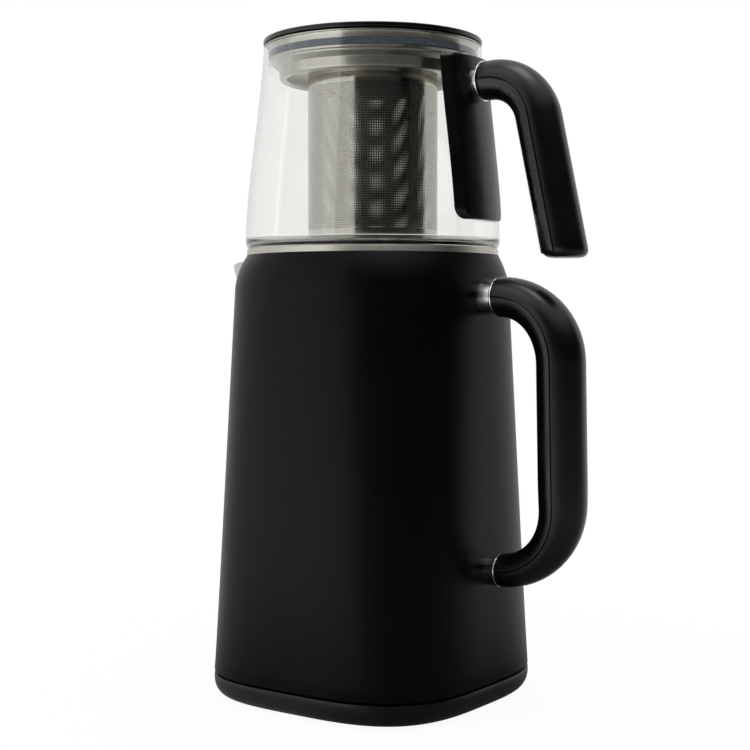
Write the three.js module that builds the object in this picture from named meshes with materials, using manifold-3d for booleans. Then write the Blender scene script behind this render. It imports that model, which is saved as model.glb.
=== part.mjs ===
// Automatic tea maker: a kettle on a power base, with a glass teapot and its infuser on top.
// Units are millimetres and +Z is up. The origin is on the kettle's axis, at the flat underside
// of the power base. The handles point to +X, the spout to -X and the plain front face to -Y.

import * as THREE from "three";
import { mergeVertices, toCreasedNormals } from "three/addons/utils/BufferGeometryUtils.js";
import Module from "manifold-3d";

const wasm = await Module();
wasm.setup();

// Clearances and cutting
const seatGap = 0.3; // between two pieces that touch
const slideGap = 0.5; // between two pieces that slide in each other
const overrun = 3; // how far a cutting tool passes the face it cuts
const weldGap = 0.0001; // points nearer than this are one point

// Numbers of facets
const aroundBody = 48;
const aroundRound = 32;
const aroundInside = 24;
const aroundHub = 18;
const aroundSmall = 12;

// Power base
const baseHalfWidth = 78; // across the flats
const baseHeight = 12.2;
const baseWall = 2.4;
const baseDeck = 2.2;
const baseEdgeInset = 6.5; // how far the rounded bottom edge draws in
const baseEdgeRise = 9.5; // how high the rounding reaches
const baseTopChamfer = 0.7;
const footCornerPower = 3.3; // corner shape of the outline: 2 is a circle, more is squarer
const coverThickness = 2;
const footRadius = 6;
const footHeight = 1.9;
const footProud = 1.2; // how far a foot stands below the cover
const footInset = 21.1; // from the opening's flat side to a foot's middle

// Connector between the base and the kettle
const noseRadius = 15;
const noseRise = 9.3; // above the deck
const noseBevel = 1;
const hubRadius = 20;
const hubFlangeRadius = 24;
const pinRadius = 1.6;
const pinRise = 6.4; // above the deck
const pinTipRise = 0.6;
const noseBoreRadius = 5;
const noseBoreFloor = 8;

// Buttons and status light in the back wall of the base
const buttonWidth = 15;
const buttonHeight = 4.6;
const buttonSpacing = 30;
const buttonProud = 1.6;
const buttonTravel = 1.5;
const buttonFlangeBorder = 0.8;
const buttonFlangeThickness = 1.2;
const buttonLevel = 6.5; // height of the buttons' centre line
const lightRadius = 1.8;
const lightFlangeRadius = 2.7;
const lightProud = 0.3;
const boardThickness = 1.6;
const boardEndMargin = 6;
const switchWidth = 6;
const switchDepth = 1.6;
const switchClearance = 0.2;

// Cord gland in the wall under the spout
const glandBoreRadius = 2.8;
const glandNeckRadius = 3.3;
const glandFlangeRadius = 3.6;
const glandFlangeThickness = 1.2;
const glandNubRadius = 4.2;
const glandTipRadius = 3.7;
const glandProud = 2.6;
const glandLevel = 6.15;

// Kettle body
const seamHeight = 1; // shadow line between the base and the body
const bodyHeight = 230.6;
const bodyTaper = 6; // each side, from the foot to the shoulder
const topCornerPower = 2.5;
const cornerEaseShare = 0.8;
const shoulderHeight = 21.8;
const shoulderEaseShare = 2.1;
const mouthInset = 1.7;
const bodyWall = 2;
const bodyFlangeThickness = 1.2;
const bodyFlangeWidth = 6.3;

// Kettle's bottom cover, coupler and heater
const kettleCoverThickness = 2.2;
const standingRingRadius = 52;
const standingRingWidth = 3;
const couplerWall = 6.4;
const couplerFlangeWidth = 5;
const couplerFlangeThickness = 1.5;
const couplerRoof = 2.2;
const couplerPostDepth = 11;
const couplerPostRadius = 4.4;
const couplerPostBoreRadius = 2.1;
const thermostatRadius = 18;
const thermostatHeight = 6.2;
const heaterMargin = 4.2; // inside the vessel's wall
const heaterThickness = 2;
const heaterRodInnerRadius = 30;
const heaterRodOuterRadius = 38;
const heaterRodDepth = 2;

// Inner vessel and rim
const vesselWall = 1;
const vesselCornerRadius = 4.2;
const vesselLipWidth = 6.2;
const rimInset = 0.1;
const rimBorder = 2.8; // of the rim outside the vessel's lip
const rimHeight = 3.3;
const rimChamfer = 1;
const rimSkirtWall = 1;
const rimSkirtDepth = 6.9;

// Spout
const spoutReach = 30; // from the wall to the tip
const spoutDepth = 37;
const spoutHalfWidth = 22;
const spoutWall = 1;
const spoutTopDrop = 1.6; // below the top of the body
const spoutTipDrop = 2.4;
const spoutTipDepth = 3;
const spoutTipHalfWidth = 1.7;
const spoutKeelShare = 0.6;
const spoutFlankShare = 0.75;
const spoutVeeShare = 1.5;
const spoutLipShare = 4;
const spoutStationShares = [0.2, 0.4, 0.6, 0.75, 0.88, 0.95, 1];
const strainerThickness = 0.8;
const strainerMargin = 3;
const strainerHoleRadius = 1.7;
const strainerPitch = 7.4;

// Kettle handle and its ferrules
const gripTopEndRadius = 10.7;
const gripBottomEndRadius = 8.9;
const gripRadius = 12.9;
const gripTopBlendShare = 0.26; // of the handle's length, where it thickens
const gripBottomBlendShare = 0.36;
const handleTopDrop = 23.3; // from the body's top to the upper run
const handleBottomClimb = 62.1; // from the body's foot to the lower run
const gripTopReach = 46.3; // from the wall to the grip's centre line, along the upper run
const gripBottomReach = 45.3;
const handleBottomRise = 2.6; // the lower run climbs towards the grip
const handleTopStraight = 1.5; // between the ferrule and the bend
const handleBottomStraight = 2.5;
const handleStep = 35; // longest stretch between two stations of a straight run
const partingGap = 0.5; // between the outer and inner half of a handle
const upperFerruleRadius = 10.1;
const upperFerruleFlare = 0.9; // wider at the handle than at the wall
const upperFerruleLength = 10.4;
const lowerFerruleRadius = 8.6;
const lowerFerruleFlare = 0.2;
const lowerFerruleLength = 8;
const ferruleRingWidth = 1.2;
const ferruleRingRise = 0.3;
const spigotRadius = 5.5;
const spigotLength = 7;
const screwRadius = 2;
const screwHeadRadius = 4;
const screwHeadHeight = 1.9;
const screwBite = 9;

// Glass teapot
const glassWall = 2;
const potHeight = 111;
const potHeelProud = 0.7; // beyond the kettle's rim
const potFootTuck = 2.4;
const potHeelRise = 6.3;
const potTaper = 10.4; // each side, from the heel to the mouth
const potFootWidth = 14.5;
const potPuntRise = 1;
const potLowerPullInset = 1.3; // from the heel
const potLowerPullRise = 40.3;
const potUpperPullProud = 1.9; // beyond the mouth
const potUpperPullRise = 77.3;

// Teapot bracket and handle
const bracketBottomRise = 13.7; // above the teapot's foot
const bracketHeight = 87.2;
const bracketHalfWidth = 21.5;
const bracketFaceHalfWidth = 18.3;
const bracketEdgeThickness = 2.2;
const bracketCrownThickness = 5.6;
const bracketBottomCorner = 6;
const bracketTopCorner = 3;
const potHandleRise = 87; // handle's root above the teapot's foot
const neckRadius = 7.3;
const neckReach = 5.2; // from the bracket's crown to the handle
const endRingThickness = 0.9;
const endRingRadius = 10.6;
const potGripEndRadius = 10.2;
const potGripRadius = 12.1;
const potGripBlendShare = 0.35;
const potHandleClimb = 1; // from the root to the corner
const potHandleRun = 27.1; // from the root to the corner of the centre line
const potHandleStraight = 4.4; // between the root and the bend
const potHandleTipRun = 48.2; // from the root to the tip, along the run
const potHandleTipDrop = 94.3;
const potHandleTipRadius = 5;

// Infuser
const sheetThickness = 0.8;
const mitreShare = 0.5; // sharpest mitre where the sheet turns
const infuserLipInset = 0.3; // from the glass's edge
const infuserSleeveInset = 3.7;
const infuserSleeveDepth = 9;
const infuserBandInset = 1.3; // from the sleeve
const infuserBandDepth = 10.2;
const infuserStepInset = 4; // from the band
const infuserStepDepth = 13;
const infuserSkirtDepth = 18.5;
const infuserHemWidth = 3;
const infuserShoulderDrop = 0.6;
const infuserWebRise = 4.2;
const infuserCollarDepth = 22;
const meshInset = 15.3; // from the step
const meshThickness = 0.6;
const meshOverlap = 3.4;
const meshFootGap = 1.7; // above the glass's floor
const meshColumns = 18;
const meshRows = 5;
const meshHoleHeightShare = 0.56;
const meshHoleWidthShare = 0.5;
const meshTopBand = 5;
const meshBottomBand = 5;
const cupWallHeight = 4;
const cupHeelBevel = 0.8;
const sealHeight = 3.9;
const sealDepth = 4.5; // from the rim's top to the seal

// Lid
const lidProud = 0.2; // beyond the glass's edge
const lidThickness = 2.6;
const lidEdgeBevel = 0.7;
const plugWall = 1.4;
const plugDepth = 8;
const plugFlangeWidth = 2;
const plugFlangeThickness = 1.2;
const gasketHeight = 3.2;
const gasketWidth = 1.8;
const knobRadius = 15;
const knobNeckRadius = 9;
const knobHeight = 7.4;
const knobCapHeight = 4.4;
const knobBevel = 1.2;
const knobScrewBite = 4.5;

// Radii and half widths, from the base to the lid
const bodyTopHalfWidth = baseHalfWidth - bodyTaper;
const mouthRadius = bodyTopHalfWidth - mouthInset;
const bodyFlangeRadius = mouthRadius - bodyFlangeWidth;
const rimRadius = mouthRadius - rimInset;
const vesselLipRadius = rimRadius - rimBorder;
const vesselRadius = vesselLipRadius - vesselLipWidth; // inside
const heaterRadius = vesselRadius - heaterMargin;
const potHeelRadius = rimRadius + potHeelProud;
const potFootRadius = potHeelRadius - potFootTuck;
const potPuntRadius = potFootRadius - potFootWidth;
const potMouthRadius = potHeelRadius - potTaper;
const potLowerPullRadius = potHeelRadius - potLowerPullInset;
const potUpperPullRadius = potMouthRadius + potUpperPullProud;
const infuserLipRadius = potMouthRadius - infuserLipInset;
const infuserSleeveRadius = potMouthRadius - infuserSleeveInset;
const infuserBandRadius = infuserSleeveRadius - infuserBandInset;
const infuserStepRadius = infuserBandRadius - infuserStepInset;
const meshRadius = infuserStepRadius - meshInset;
const gasketRadius = infuserSleeveRadius - sheetThickness - seatGap;
const plugRadius = gasketRadius - gasketWidth - seatGap;
const plugFlangeRadius = plugRadius + plugFlangeWidth;
const lidRadius = potMouthRadius + lidProud;

// Levels, from the bottom up
const bodyFootZ = baseHeight + seamHeight;
const bodyTopZ = bodyFootZ + bodyHeight;
const handleTopLevel = bodyTopZ - handleTopDrop;
const handleBottomLevel = bodyFootZ + handleBottomClimb;
const shoulderZ = bodyTopZ - shoulderHeight;
const kettleCoverZ = bodyFootZ + seatGap;
const kettleCoverTopZ = kettleCoverZ + kettleCoverThickness;
const noseTopZ = baseHeight + noseRise;
const couplerRoofZ = noseTopZ + slideGap;
const couplerTopZ = couplerRoofZ + couplerRoof;
const heaterZ = couplerTopZ + seatGap + thermostatHeight + seatGap;
const vesselZ = heaterZ + heaterThickness + seatGap;
const vesselLipZ = bodyTopZ + seatGap;
const rimTopZ = vesselLipZ + rimHeight;
const potFootZ = rimTopZ + seatGap;
const potTopZ = potFootZ + potHeight;
const infuserLipZ = potTopZ + seatGap;
const infuserTopZ = infuserLipZ + sheetThickness;
const lidZ = infuserTopZ + seatGap;
const lidTopZ = lidZ + lidThickness;

// Finishes
const finishes = {
  bodyCoat: { color: 0x1d1d1e, roughness: 0.62, metalness: 0.1 },
  blackPlastic: { color: 0x171718, roughness: 0.42, metalness: 0 },
  darkPlastic: { color: 0x2a2a2c, roughness: 0.6, metalness: 0 },
  chrome: { color: 0xd9dadb, roughness: 0.08, metalness: 1 },
  steel: { color: 0xb5b2a8, roughness: 0.28, metalness: 1 },
  glass: { color: 0xe9eeec, roughness: 0.03, metalness: 0, transparent: true, opacity: 0.3 },
  silicone: { color: 0x6f7780, roughness: 0.5, metalness: 0 },
  rubber: { color: 0x101010, roughness: 0.85, metalness: 0 },
  aluminium: { color: 0xa9abad, roughness: 0.4, metalness: 1 },
  lightPipe: { color: 0xf3ead2, roughness: 0.2, metalness: 0 },
  board: { color: 0x1f5a35, roughness: 0.6, metalness: 0 },
};

function lerp(from, to, share) {
  return from + (to - from) * share;
}

function shareOf(value, low, high) {
  return Math.min(Math.max((value - low) / (high - low), 0), 1);
}

// The geometry as a solid that can be cut: vertices merged, collapsed triangles dropped and
// all faces turned out
function solidOf(geometry) {
  const bare = geometry.clone();
  bare.deleteAttribute("normal");
  bare.deleteAttribute("uv");
  const merged = mergeVertices(bare, weldGap);
  const corners = merged.index.array;
  const place = merged.attributes.position;
  const points = Array.from({ length: place.count },
    (_, i) => new THREE.Vector3().fromBufferAttribute(place, i));
  const kept = [];
  let volume = 0;
  for (let i = 0; i < corners.length; i += 3) {
    const [a, b, c] = [corners[i], corners[i + 1], corners[i + 2]];
    if (a !== b && b !== c && c !== a) {
      kept.push(a, b, c);
      volume += points[a].dot(new THREE.Vector3().crossVectors(points[b], points[c]));
    }
  }
  if (volume < 0) {
    kept.reverse();
  }
  return new wasm.Manifold(new wasm.Mesh({
    numProp: 3,
    vertProperties: new Float32Array(place.array),
    triVerts: new Uint32Array(kept),
  }));
}

function geometryOf(solid) {
  const mesh = solid.getMesh();
  const geometry = new THREE.BufferGeometry();
  geometry.setAttribute("position", new THREE.BufferAttribute(mesh.vertProperties, 3));
  geometry.setIndex(new THREE.BufferAttribute(mesh.triVerts, 1));
  return toCreasedNormals(geometry, Math.PI / 6);
}

// Triangles that close a flat ring of points, wound as the ring runs
function capTriangles(ring) {
  const normal = new THREE.Vector3();
  ring.forEach((point, i) => {
    normal.add(new THREE.Vector3().crossVectors(point, ring[(i + 1) % ring.length]));
  });
  const turn = new THREE.Quaternion().setFromUnitVectors(normal.normalize(), new THREE.Vector3(0, 0, 1));
  const flat = ring.map((point) => {
    const turned = point.clone().applyQuaternion(turn);
    return new THREE.Vector2(turned.x, turned.y);
  });
  return THREE.ShapeUtils.triangulateShape(flat, []).map(([a, b, c]) => {
    const area = new THREE.Vector2().subVectors(flat[b], flat[a])
      .cross(new THREE.Vector2().subVectors(flat[c], flat[a]));
    return area > 0 ? [a, b, c] : [a, c, b];
  });
}

// Solid through rings of points. A looped loft joins its last ring to its first one.
function loft(rings, looped = false) {
  const count = rings[0].length;
  const index = [];
  const spans = looped ? rings.length : rings.length - 1;
  for (let r = 0; r < spans; r += 1) {
    const near = r * count;
    const far = ((r + 1) % rings.length) * count;
    for (let i = 0; i < count; i += 1) {
      const next = (i + 1) % count;
      index.push(near + i, near + next, far + next, near + i, far + next, far + i);
    }
  }
  if (!looped) {
    const last = (rings.length - 1) * count;
    capTriangles(rings[0]).forEach(([a, b, c]) => index.push(a, c, b));
    capTriangles(rings[rings.length - 1]).forEach(([a, b, c]) => index.push(last + a, last + b, last + c));
  }
  const geometry = new THREE.BufferGeometry().setFromPoints(rings.flat());
  geometry.setIndex(index);
  return solidOf(geometry);
}

// Solid of revolution about Z from [radius, height] points that start and end on the axis,
// or that close on themselves
function turned(profile, around = aroundRound) {
  const points = profile.map(([radius, height]) => new THREE.Vector2(radius, height));
  if (profile[0][0] > 0) {
    points.push(points[0].clone());
  }
  return solidOf(new THREE.LatheGeometry(points, around).rotateX(Math.PI / 2));
}

// The same, lying along +X from a point
function turnedAlongX(profile, x, y, z, around = aroundSmall) {
  return turned(profile, around).rotate([0, 90, 0]).translate([x, y, z]);
}

// The same, lying along +Y from a point
function turnedAlongY(profile, x, y, z, around = aroundSmall) {
  return turned(profile, around).rotate([-90, 0, 0]).translate([x, y, z]);
}

function rod(radius, length) {
  return [[0, 0], [radius, 0], [radius, length], [0, length]];
}

function block(low, high) {
  const size = high.map((value, i) => value - low[i]);
  const box = new THREE.BoxGeometry(size[0], size[1], size[2]);
  return solidOf(box.translate(low[0] + size[0] / 2, low[1] + size[1] / 2, low[2] + size[2] / 2));
}

// Bar with round ends, as wide as width and as high as height, running along +Y
function roundBar(width, height, x, yStart, yEnd, z) {
  const radius = height / 2;
  const side = width / 2 - radius;
  const shape = new THREE.Shape();
  shape.absarc(side, 0, radius, -Math.PI / 2, Math.PI / 2);
  shape.absarc(-side, 0, radius, Math.PI / 2, Math.PI * 1.5);
  const bar = new THREE.ExtrudeGeometry(shape, {
    depth: yEnd - yStart, bevelEnabled: false, curveSegments: 4,
  });
  return solidOf(bar.rotateX(-Math.PI / 2).translate(x, yStart, z));
}

// Outline radius of the rounded square at an angle
function squircleRadius(angle, halfWidth, power) {
  const sum = Math.abs(Math.cos(angle)) ** power + Math.abs(Math.sin(angle)) ** power;
  return halfWidth / sum ** (1 / power);
}

function ringOf(radiusAt, z, around = aroundBody) {
  return Array.from({ length: around }, (_, i) => {
    const angle = (i / around) * Math.PI * 2;
    const radius = radiusAt(angle);
    return new THREE.Vector3(radius * Math.cos(angle), radius * Math.sin(angle), z);
  });
}

function squircleRing(halfWidth, z) {
  return ringOf((angle) => squircleRadius(angle, halfWidth, footCornerPower), z);
}

function circleRing(radius, z) {
  return ringOf(() => radius, z);
}

// Kettle body outline: a rounded square that narrows, softens and turns into the round mouth
function bodyRing(z, inset = 0) {
  const climb = shareOf(z, bodyFootZ, shoulderZ);
  const halfWidth = bodyHalfWidthAt(z);
  const power = lerp(footCornerPower, topCornerPower, climb ** cornerEaseShare);
  const fold = shareOf(z, shoulderZ, bodyTopZ) ** shoulderEaseShare;
  return ringOf((angle) => lerp(squircleRadius(angle, halfWidth, power), mouthRadius, fold) - inset, z);
}

function bodyHalfWidthAt(z) {
  return lerp(baseHalfWidth, bodyTopHalfWidth, shareOf(z, bodyFootZ, shoulderZ));
}

// Distance from the axis to the body's flat side, on the shoulder too
function bodyReachAt(z) {
  const fold = shareOf(z, shoulderZ, bodyTopZ) ** shoulderEaseShare;
  return lerp(bodyHalfWidthAt(z), mouthRadius, fold);
}

function bodyLevels(bottom, top, count) {
  const levels = Array.from({ length: count }, (_, i) => lerp(bottom, shoulderZ, i / (count - 1)));
  const shoulderShares = [0.35, 0.65, 0.88, 1];
  return levels.concat(shoulderShares.map((share) => lerp(shoulderZ, top, share)));
}

const product = new THREE.Group();
product.name = "tea_maker";
const baseGroup = new THREE.Group();
const kettleGroup = new THREE.Group();
const teapotGroup = new THREE.Group();
const infuserGroup = new THREE.Group();
const lidGroup = new THREE.Group();
product.add(baseGroup);
baseGroup.add(kettleGroup);
kettleGroup.add(teapotGroup);
teapotGroup.add(infuserGroup);
infuserGroup.add(lidGroup);

function addPiece(group, name, finish, solid) {
  const mesh = new THREE.Mesh(geometryOf(solid), new THREE.MeshStandardMaterial(finishes[finish]));
  mesh.name = name;
  group.add(mesh);
}

// Power base: rounded housing, flat cover with rubber feet, connector, controls and cord gland
function baseInsetAt(z) {
  const drop = 1 - shareOf(z, 0, baseEdgeRise);
  return baseEdgeInset * (1 - Math.sqrt(1 - drop * drop));
}

const deckUnderside = baseHeight - baseDeck;
const baseOpening = baseHalfWidth - baseEdgeInset - baseWall;
const backWallY = baseHalfWidth;
const ledgeZ = coverThickness + seatGap;
const innerHalfWidth = baseHalfWidth - baseWall - baseInsetAt(ledgeZ);
const buttonReach = buttonSpacing / 2 + buttonWidth / 2 + buttonFlangeBorder;
const innerWallY = innerHalfWidth
  * (1 - (buttonReach / innerHalfWidth) ** footCornerPower) ** (1 / footCornerPower);
const buttonFlangeY = innerWallY - slideGap - buttonFlangeThickness;
const boardY = buttonFlangeY - buttonTravel - switchClearance - switchDepth - boardThickness;
const buttonPlaces = [-buttonSpacing / 2, buttonSpacing / 2];
const footOffset = baseOpening - footInset;
const footPlaces = [[1, 1], [-1, 1], [-1, -1], [1, -1]]
  .map(([x, y]) => [x * footOffset, y * footOffset]);

function makeHousing() {
  const edgeSteps = 3;
  const outer = Array.from({ length: edgeSteps + 1 }, (_, i) => {
    const z = baseEdgeRise * (1 - Math.cos((i / edgeSteps) * Math.PI / 2));
    return squircleRing(baseHalfWidth - baseInsetAt(z), z);
  });
  const middle = deckUnderside / 2;
  let housing = loft([
    ...outer,
    squircleRing(baseHalfWidth, baseHeight - baseTopChamfer),
    squircleRing(baseHalfWidth - baseTopChamfer, baseHeight),
    circleRing(hubRadius + seatGap, baseHeight),
    circleRing(hubRadius + seatGap, deckUnderside),
    squircleRing(baseHalfWidth - baseWall, deckUnderside),
    squircleRing(baseHalfWidth - baseWall - baseInsetAt(middle), middle),
    squircleRing(innerHalfWidth, ledgeZ),
    squircleRing(baseOpening, ledgeZ),
    squircleRing(baseOpening, 0),
  ], true);
  buttonPlaces.forEach((x) => {
    housing = housing.subtract(roundBar(buttonWidth + 2 * seatGap, buttonHeight + 2 * seatGap,
      x, innerWallY - overrun, backWallY + overrun, buttonLevel));
  });
  housing = housing.subtract(turnedAlongY(rod(lightRadius + seatGap, baseWall + 3 * overrun),
    0, innerWallY - overrun, buttonLevel));
  return housing.subtract(turnedAlongX(rod(glandNeckRadius + seatGap, baseWall + 2 * overrun),
    -baseHalfWidth - overrun, 0, glandLevel));
}

function makeBottomCover() {
  let cover = loft([
    squircleRing(baseOpening - seatGap, 0),
    squircleRing(baseOpening - seatGap, coverThickness),
  ]);
  const pocketDepth = footHeight - footProud + seatGap;
  footPlaces.forEach(([x, y]) => {
    cover = cover.subtract(turned(rod(footRadius + seatGap, overrun + pocketDepth), aroundSmall)
      .translate([x, y, -overrun]));
  });
  return cover;
}

function makeConnector() {
  return turned([
    [0, ledgeZ],
    [hubFlangeRadius, ledgeZ],
    [hubFlangeRadius, deckUnderside - seatGap],
    [hubRadius, deckUnderside - seatGap],
    [hubRadius, baseHeight],
    [noseRadius, baseHeight],
    [noseRadius, noseTopZ - noseBevel],
    [noseRadius - noseBevel, noseTopZ],
    [noseBoreRadius, noseTopZ],
    [noseBoreRadius, noseBoreFloor],
    [pinRadius, noseBoreFloor],
    [pinRadius, baseHeight + pinRise],
    [0, baseHeight + pinRise + pinTipRise],
  ], aroundHub);
}

function makeButton(x) {
  const key = roundBar(buttonWidth, buttonHeight, x, buttonFlangeY, backWallY + buttonProud, buttonLevel);
  const flangeEnd = buttonFlangeY + buttonFlangeThickness;
  const flange = roundBar(buttonWidth + 2 * buttonFlangeBorder, buttonHeight + 2 * buttonFlangeBorder,
    x, buttonFlangeY, flangeEnd, buttonLevel);
  return key.add(flange);
}

function makeStatusLight() {
  const flangeStart = boardY + boardThickness + seatGap;
  const flangeEnd = innerWallY - seatGap;
  const tip = backWallY + lightProud;
  return turnedAlongY([
    [0, 0],
    [lightFlangeRadius, 0],
    [lightFlangeRadius, flangeEnd - flangeStart],
    [lightRadius, flangeEnd - flangeStart],
    [lightRadius, tip - flangeStart],
    [0, tip - flangeStart],
  ], 0, flangeStart, buttonLevel);
}

function makeSwitchBoard() {
  const halfLength = buttonSpacing / 2 + buttonWidth / 2 + boardEndMargin;
  const high = deckUnderside - seatGap;
  let board = block([-halfLength, boardY, ledgeZ], [halfLength, boardY + boardThickness, high]);
  buttonPlaces.forEach((x) => {
    const face = boardY + boardThickness + switchDepth;
    board = board.add(block([x - switchWidth / 2, boardY, buttonLevel - buttonHeight / 2],
      [x + switchWidth / 2, face, buttonLevel + buttonHeight / 2]));
  });
  return board;
}

function makeCordGland() {
  const wallOuter = glandProud - seatGap;
  const wallInner = baseHalfWidth - innerHalfWidth + glandProud + seatGap;
  return turnedAlongX([
    [glandBoreRadius, 0],
    [glandTipRadius, 0],
    [glandNubRadius, wallOuter],
    [glandNeckRadius, wallOuter],
    [glandNeckRadius, wallInner],
    [glandFlangeRadius, wallInner],
    [glandFlangeRadius, wallInner + glandFlangeThickness],
    [glandBoreRadius, wallInner + glandFlangeThickness],
  ], -baseHalfWidth - glandProud, 0, glandLevel);
}

function makeFoot([x, y]) {
  return turned(rod(footRadius, footHeight), aroundSmall).translate([x, y, -footProud]);
}

addPiece(baseGroup, "power_base_housing", "blackPlastic", makeHousing());
addPiece(baseGroup, "power_base_bottom_cover", "darkPlastic", makeBottomCover());
addPiece(baseGroup, "base_connector", "darkPlastic", makeConnector());
addPiece(baseGroup, "boil_button", "blackPlastic", makeButton(buttonPlaces[1]));
addPiece(baseGroup, "keep_warm_button", "blackPlastic", makeButton(buttonPlaces[0]));
addPiece(baseGroup, "status_light", "lightPipe", makeStatusLight());
addPiece(baseGroup, "switch_board", "board", makeSwitchBoard());
addPiece(baseGroup, "cord_gland", "rubber", makeCordGland());
footPlaces.forEach((place, i) => addPiece(baseGroup, `base_foot_${i + 1}`, "rubber", makeFoot(place)));

// Kettle: coated body shell round a steel vessel, closed below by a cover with the coupler
const kettleBodyEnvelope = loft([
  ...bodyLevels(bodyFootZ, bodyTopZ, 4).map((z) => bodyRing(z, -seatGap)),
]);

// V-shaped spout stations from inside the wall to the tip. Grow widens the section all round.
function spoutSolid(grow, rootX) {
  const wallX = bodyReachAt(bodyTopZ - spoutTopDrop);
  const tipX = wallX + spoutReach;
  const stations = [rootX, wallX, ...spoutStationShares.map((share) => lerp(wallX, tipX, share))];
  const flankSteps = 8;
  return loft(stations.map((x) => {
    const left = 1 - shareOf(x, wallX, tipX);
    const halfWidth = lerp(spoutTipHalfWidth, spoutHalfWidth, left ** spoutFlankShare) + grow;
    const depth = lerp(spoutTipDepth, spoutDepth, left ** spoutKeelShare) + grow;
    const top = bodyTopZ - spoutTopDrop - spoutTipDrop * (1 - left) ** spoutLipShare + Math.max(grow, 0);
    const ring = Array.from({ length: flankSteps + 1 }, (_, i) => {
      const side = (i / flankSteps) * 2 - 1;
      const z = top - depth * (1 - Math.abs(side) ** spoutVeeShare);
      return new THREE.Vector3(-x, side * halfWidth, z);
    });
    return ring;
  }));
}

function makeBodyShell() {
  const flangeUnderside = bodyTopZ - bodyFlangeThickness;
  const outer = bodyLevels(bodyFootZ, bodyTopZ, 4).map((z) => bodyRing(z));
  const inner = [
    bodyRing(flangeUnderside, bodyWall),
    bodyRing(lerp(shoulderZ, bodyTopZ, 0.5), bodyWall),
    bodyRing(shoulderZ, bodyWall),
    bodyRing(lerp(bodyFootZ, shoulderZ, 0.5), bodyWall),
    bodyRing(bodyFootZ, bodyWall),
  ];
  let shell = loft([
    ...outer,
    circleRing(bodyFlangeRadius, bodyTopZ),
    circleRing(bodyFlangeRadius, flangeUnderside),
    ...inner,
  ], true);
  shell = shell.subtract(spoutSolid(seatGap, vesselRadius));
  [handleTopLevel, handleBottomLevel].forEach((z) => {
    shell = shell.subtract(turnedAlongX(rod(screwRadius + seatGap, bodyWall + 2 * overrun),
      bodyReachAt(z) - bodyWall - overrun, 0, z));
  });
  return shell;
}

function makeKettleCover() {
  const halfWidth = baseHalfWidth - bodyWall - seatGap;
  const hole = noseRadius + slideGap + couplerWall + seatGap;
  const plate = loft([
    squircleRing(halfWidth, kettleCoverZ),
    squircleRing(halfWidth, kettleCoverTopZ),
    circleRing(hole, kettleCoverTopZ),
    circleRing(hole, kettleCoverZ),
  ], true);
  const ringBottom = baseHeight + seatGap;
  return plate.add(turned([
    [standingRingRadius - standingRingWidth, ringBottom],
    [standingRingRadius, ringBottom],
    [standingRingRadius, kettleCoverTopZ],
    [standingRingRadius - standingRingWidth, kettleCoverTopZ],
  ], aroundInside));
}

function makeCoupler() {
  const inner = noseRadius + slideGap;
  const outer = inner + couplerWall;
  const flangeZ = kettleCoverTopZ + seatGap;
  return turned([
    [couplerPostBoreRadius, couplerRoofZ - couplerPostDepth],
    [couplerPostRadius, couplerRoofZ - couplerPostDepth],
    [couplerPostRadius, couplerRoofZ],
    [inner, couplerRoofZ],
    [inner, kettleCoverZ],
    [outer, kettleCoverZ],
    [outer, flangeZ],
    [outer + couplerFlangeWidth, flangeZ],
    [outer + couplerFlangeWidth, flangeZ + couplerFlangeThickness],
    [outer, flangeZ + couplerFlangeThickness],
    [outer, couplerTopZ],
    [couplerPostBoreRadius, couplerTopZ],
  ], aroundHub);
}

function makeThermostat() {
  return turned(rod(thermostatRadius, thermostatHeight), aroundHub).translate([0, 0, couplerTopZ + seatGap]);
}

function makeHeatingPlate() {
  return turned([
    [0, heaterZ],
    [heaterRodInnerRadius, heaterZ],
    [heaterRodInnerRadius, heaterZ - heaterRodDepth],
    [heaterRodOuterRadius, heaterZ - heaterRodDepth],
    [heaterRodOuterRadius, heaterZ],
    [heaterRadius, heaterZ],
    [heaterRadius, heaterZ + heaterThickness],
    [0, heaterZ + heaterThickness],
  ], aroundInside);
}

function makeVessel() {
  const outer = vesselRadius + vesselWall;
  const lipTop = vesselLipZ + vesselWall;
  const vessel = turned([
    [0, vesselZ],
    [outer - vesselCornerRadius, vesselZ],
    [outer, vesselZ + vesselCornerRadius],
    [outer, vesselLipZ],
    [vesselLipRadius, vesselLipZ],
    [vesselLipRadius, lipTop],
    [vesselRadius, lipTop],
    [vesselRadius, vesselZ + vesselCornerRadius],
    [vesselRadius - vesselCornerRadius + vesselWall, vesselZ + vesselWall],
    [0, vesselZ + vesselWall],
  ]);
  return vessel.subtract(spoutSolid(-spoutWall, vesselRadius - overrun));
}

function makeRimRing() {
  const pocketZ = vesselLipZ + vesselWall + seatGap;
  const pocketRadius = vesselLipRadius + seatGap;
  const skirtOuter = vesselRadius - seatGap;
  const skirtInner = skirtOuter - rimSkirtWall;
  return turned([
    [pocketRadius, vesselLipZ],
    [rimRadius, vesselLipZ],
    [rimRadius, rimTopZ - rimChamfer],
    [rimRadius - rimChamfer, rimTopZ],
    [skirtInner, rimTopZ],
    [skirtInner, rimTopZ - rimSkirtDepth],
    [skirtOuter, rimTopZ - rimSkirtDepth],
    [skirtOuter, pocketZ],
    [pocketRadius, pocketZ],
  ]);
}

function makeSpout() {
  const root = vesselRadius - overrun;
  const vesselTool = turned(rod(vesselRadius + vesselWall + seatGap, bodyTopZ));
  // The channel is open at its top, so the tool for its inside is lifted past the lips
  const inside = spoutSolid(-spoutWall, root - overrun);
  const lift = inside.translate([0, 0, spoutWall]);
  return spoutSolid(0, root).subtract(inside).subtract(lift).subtract(vesselTool);
}

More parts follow.
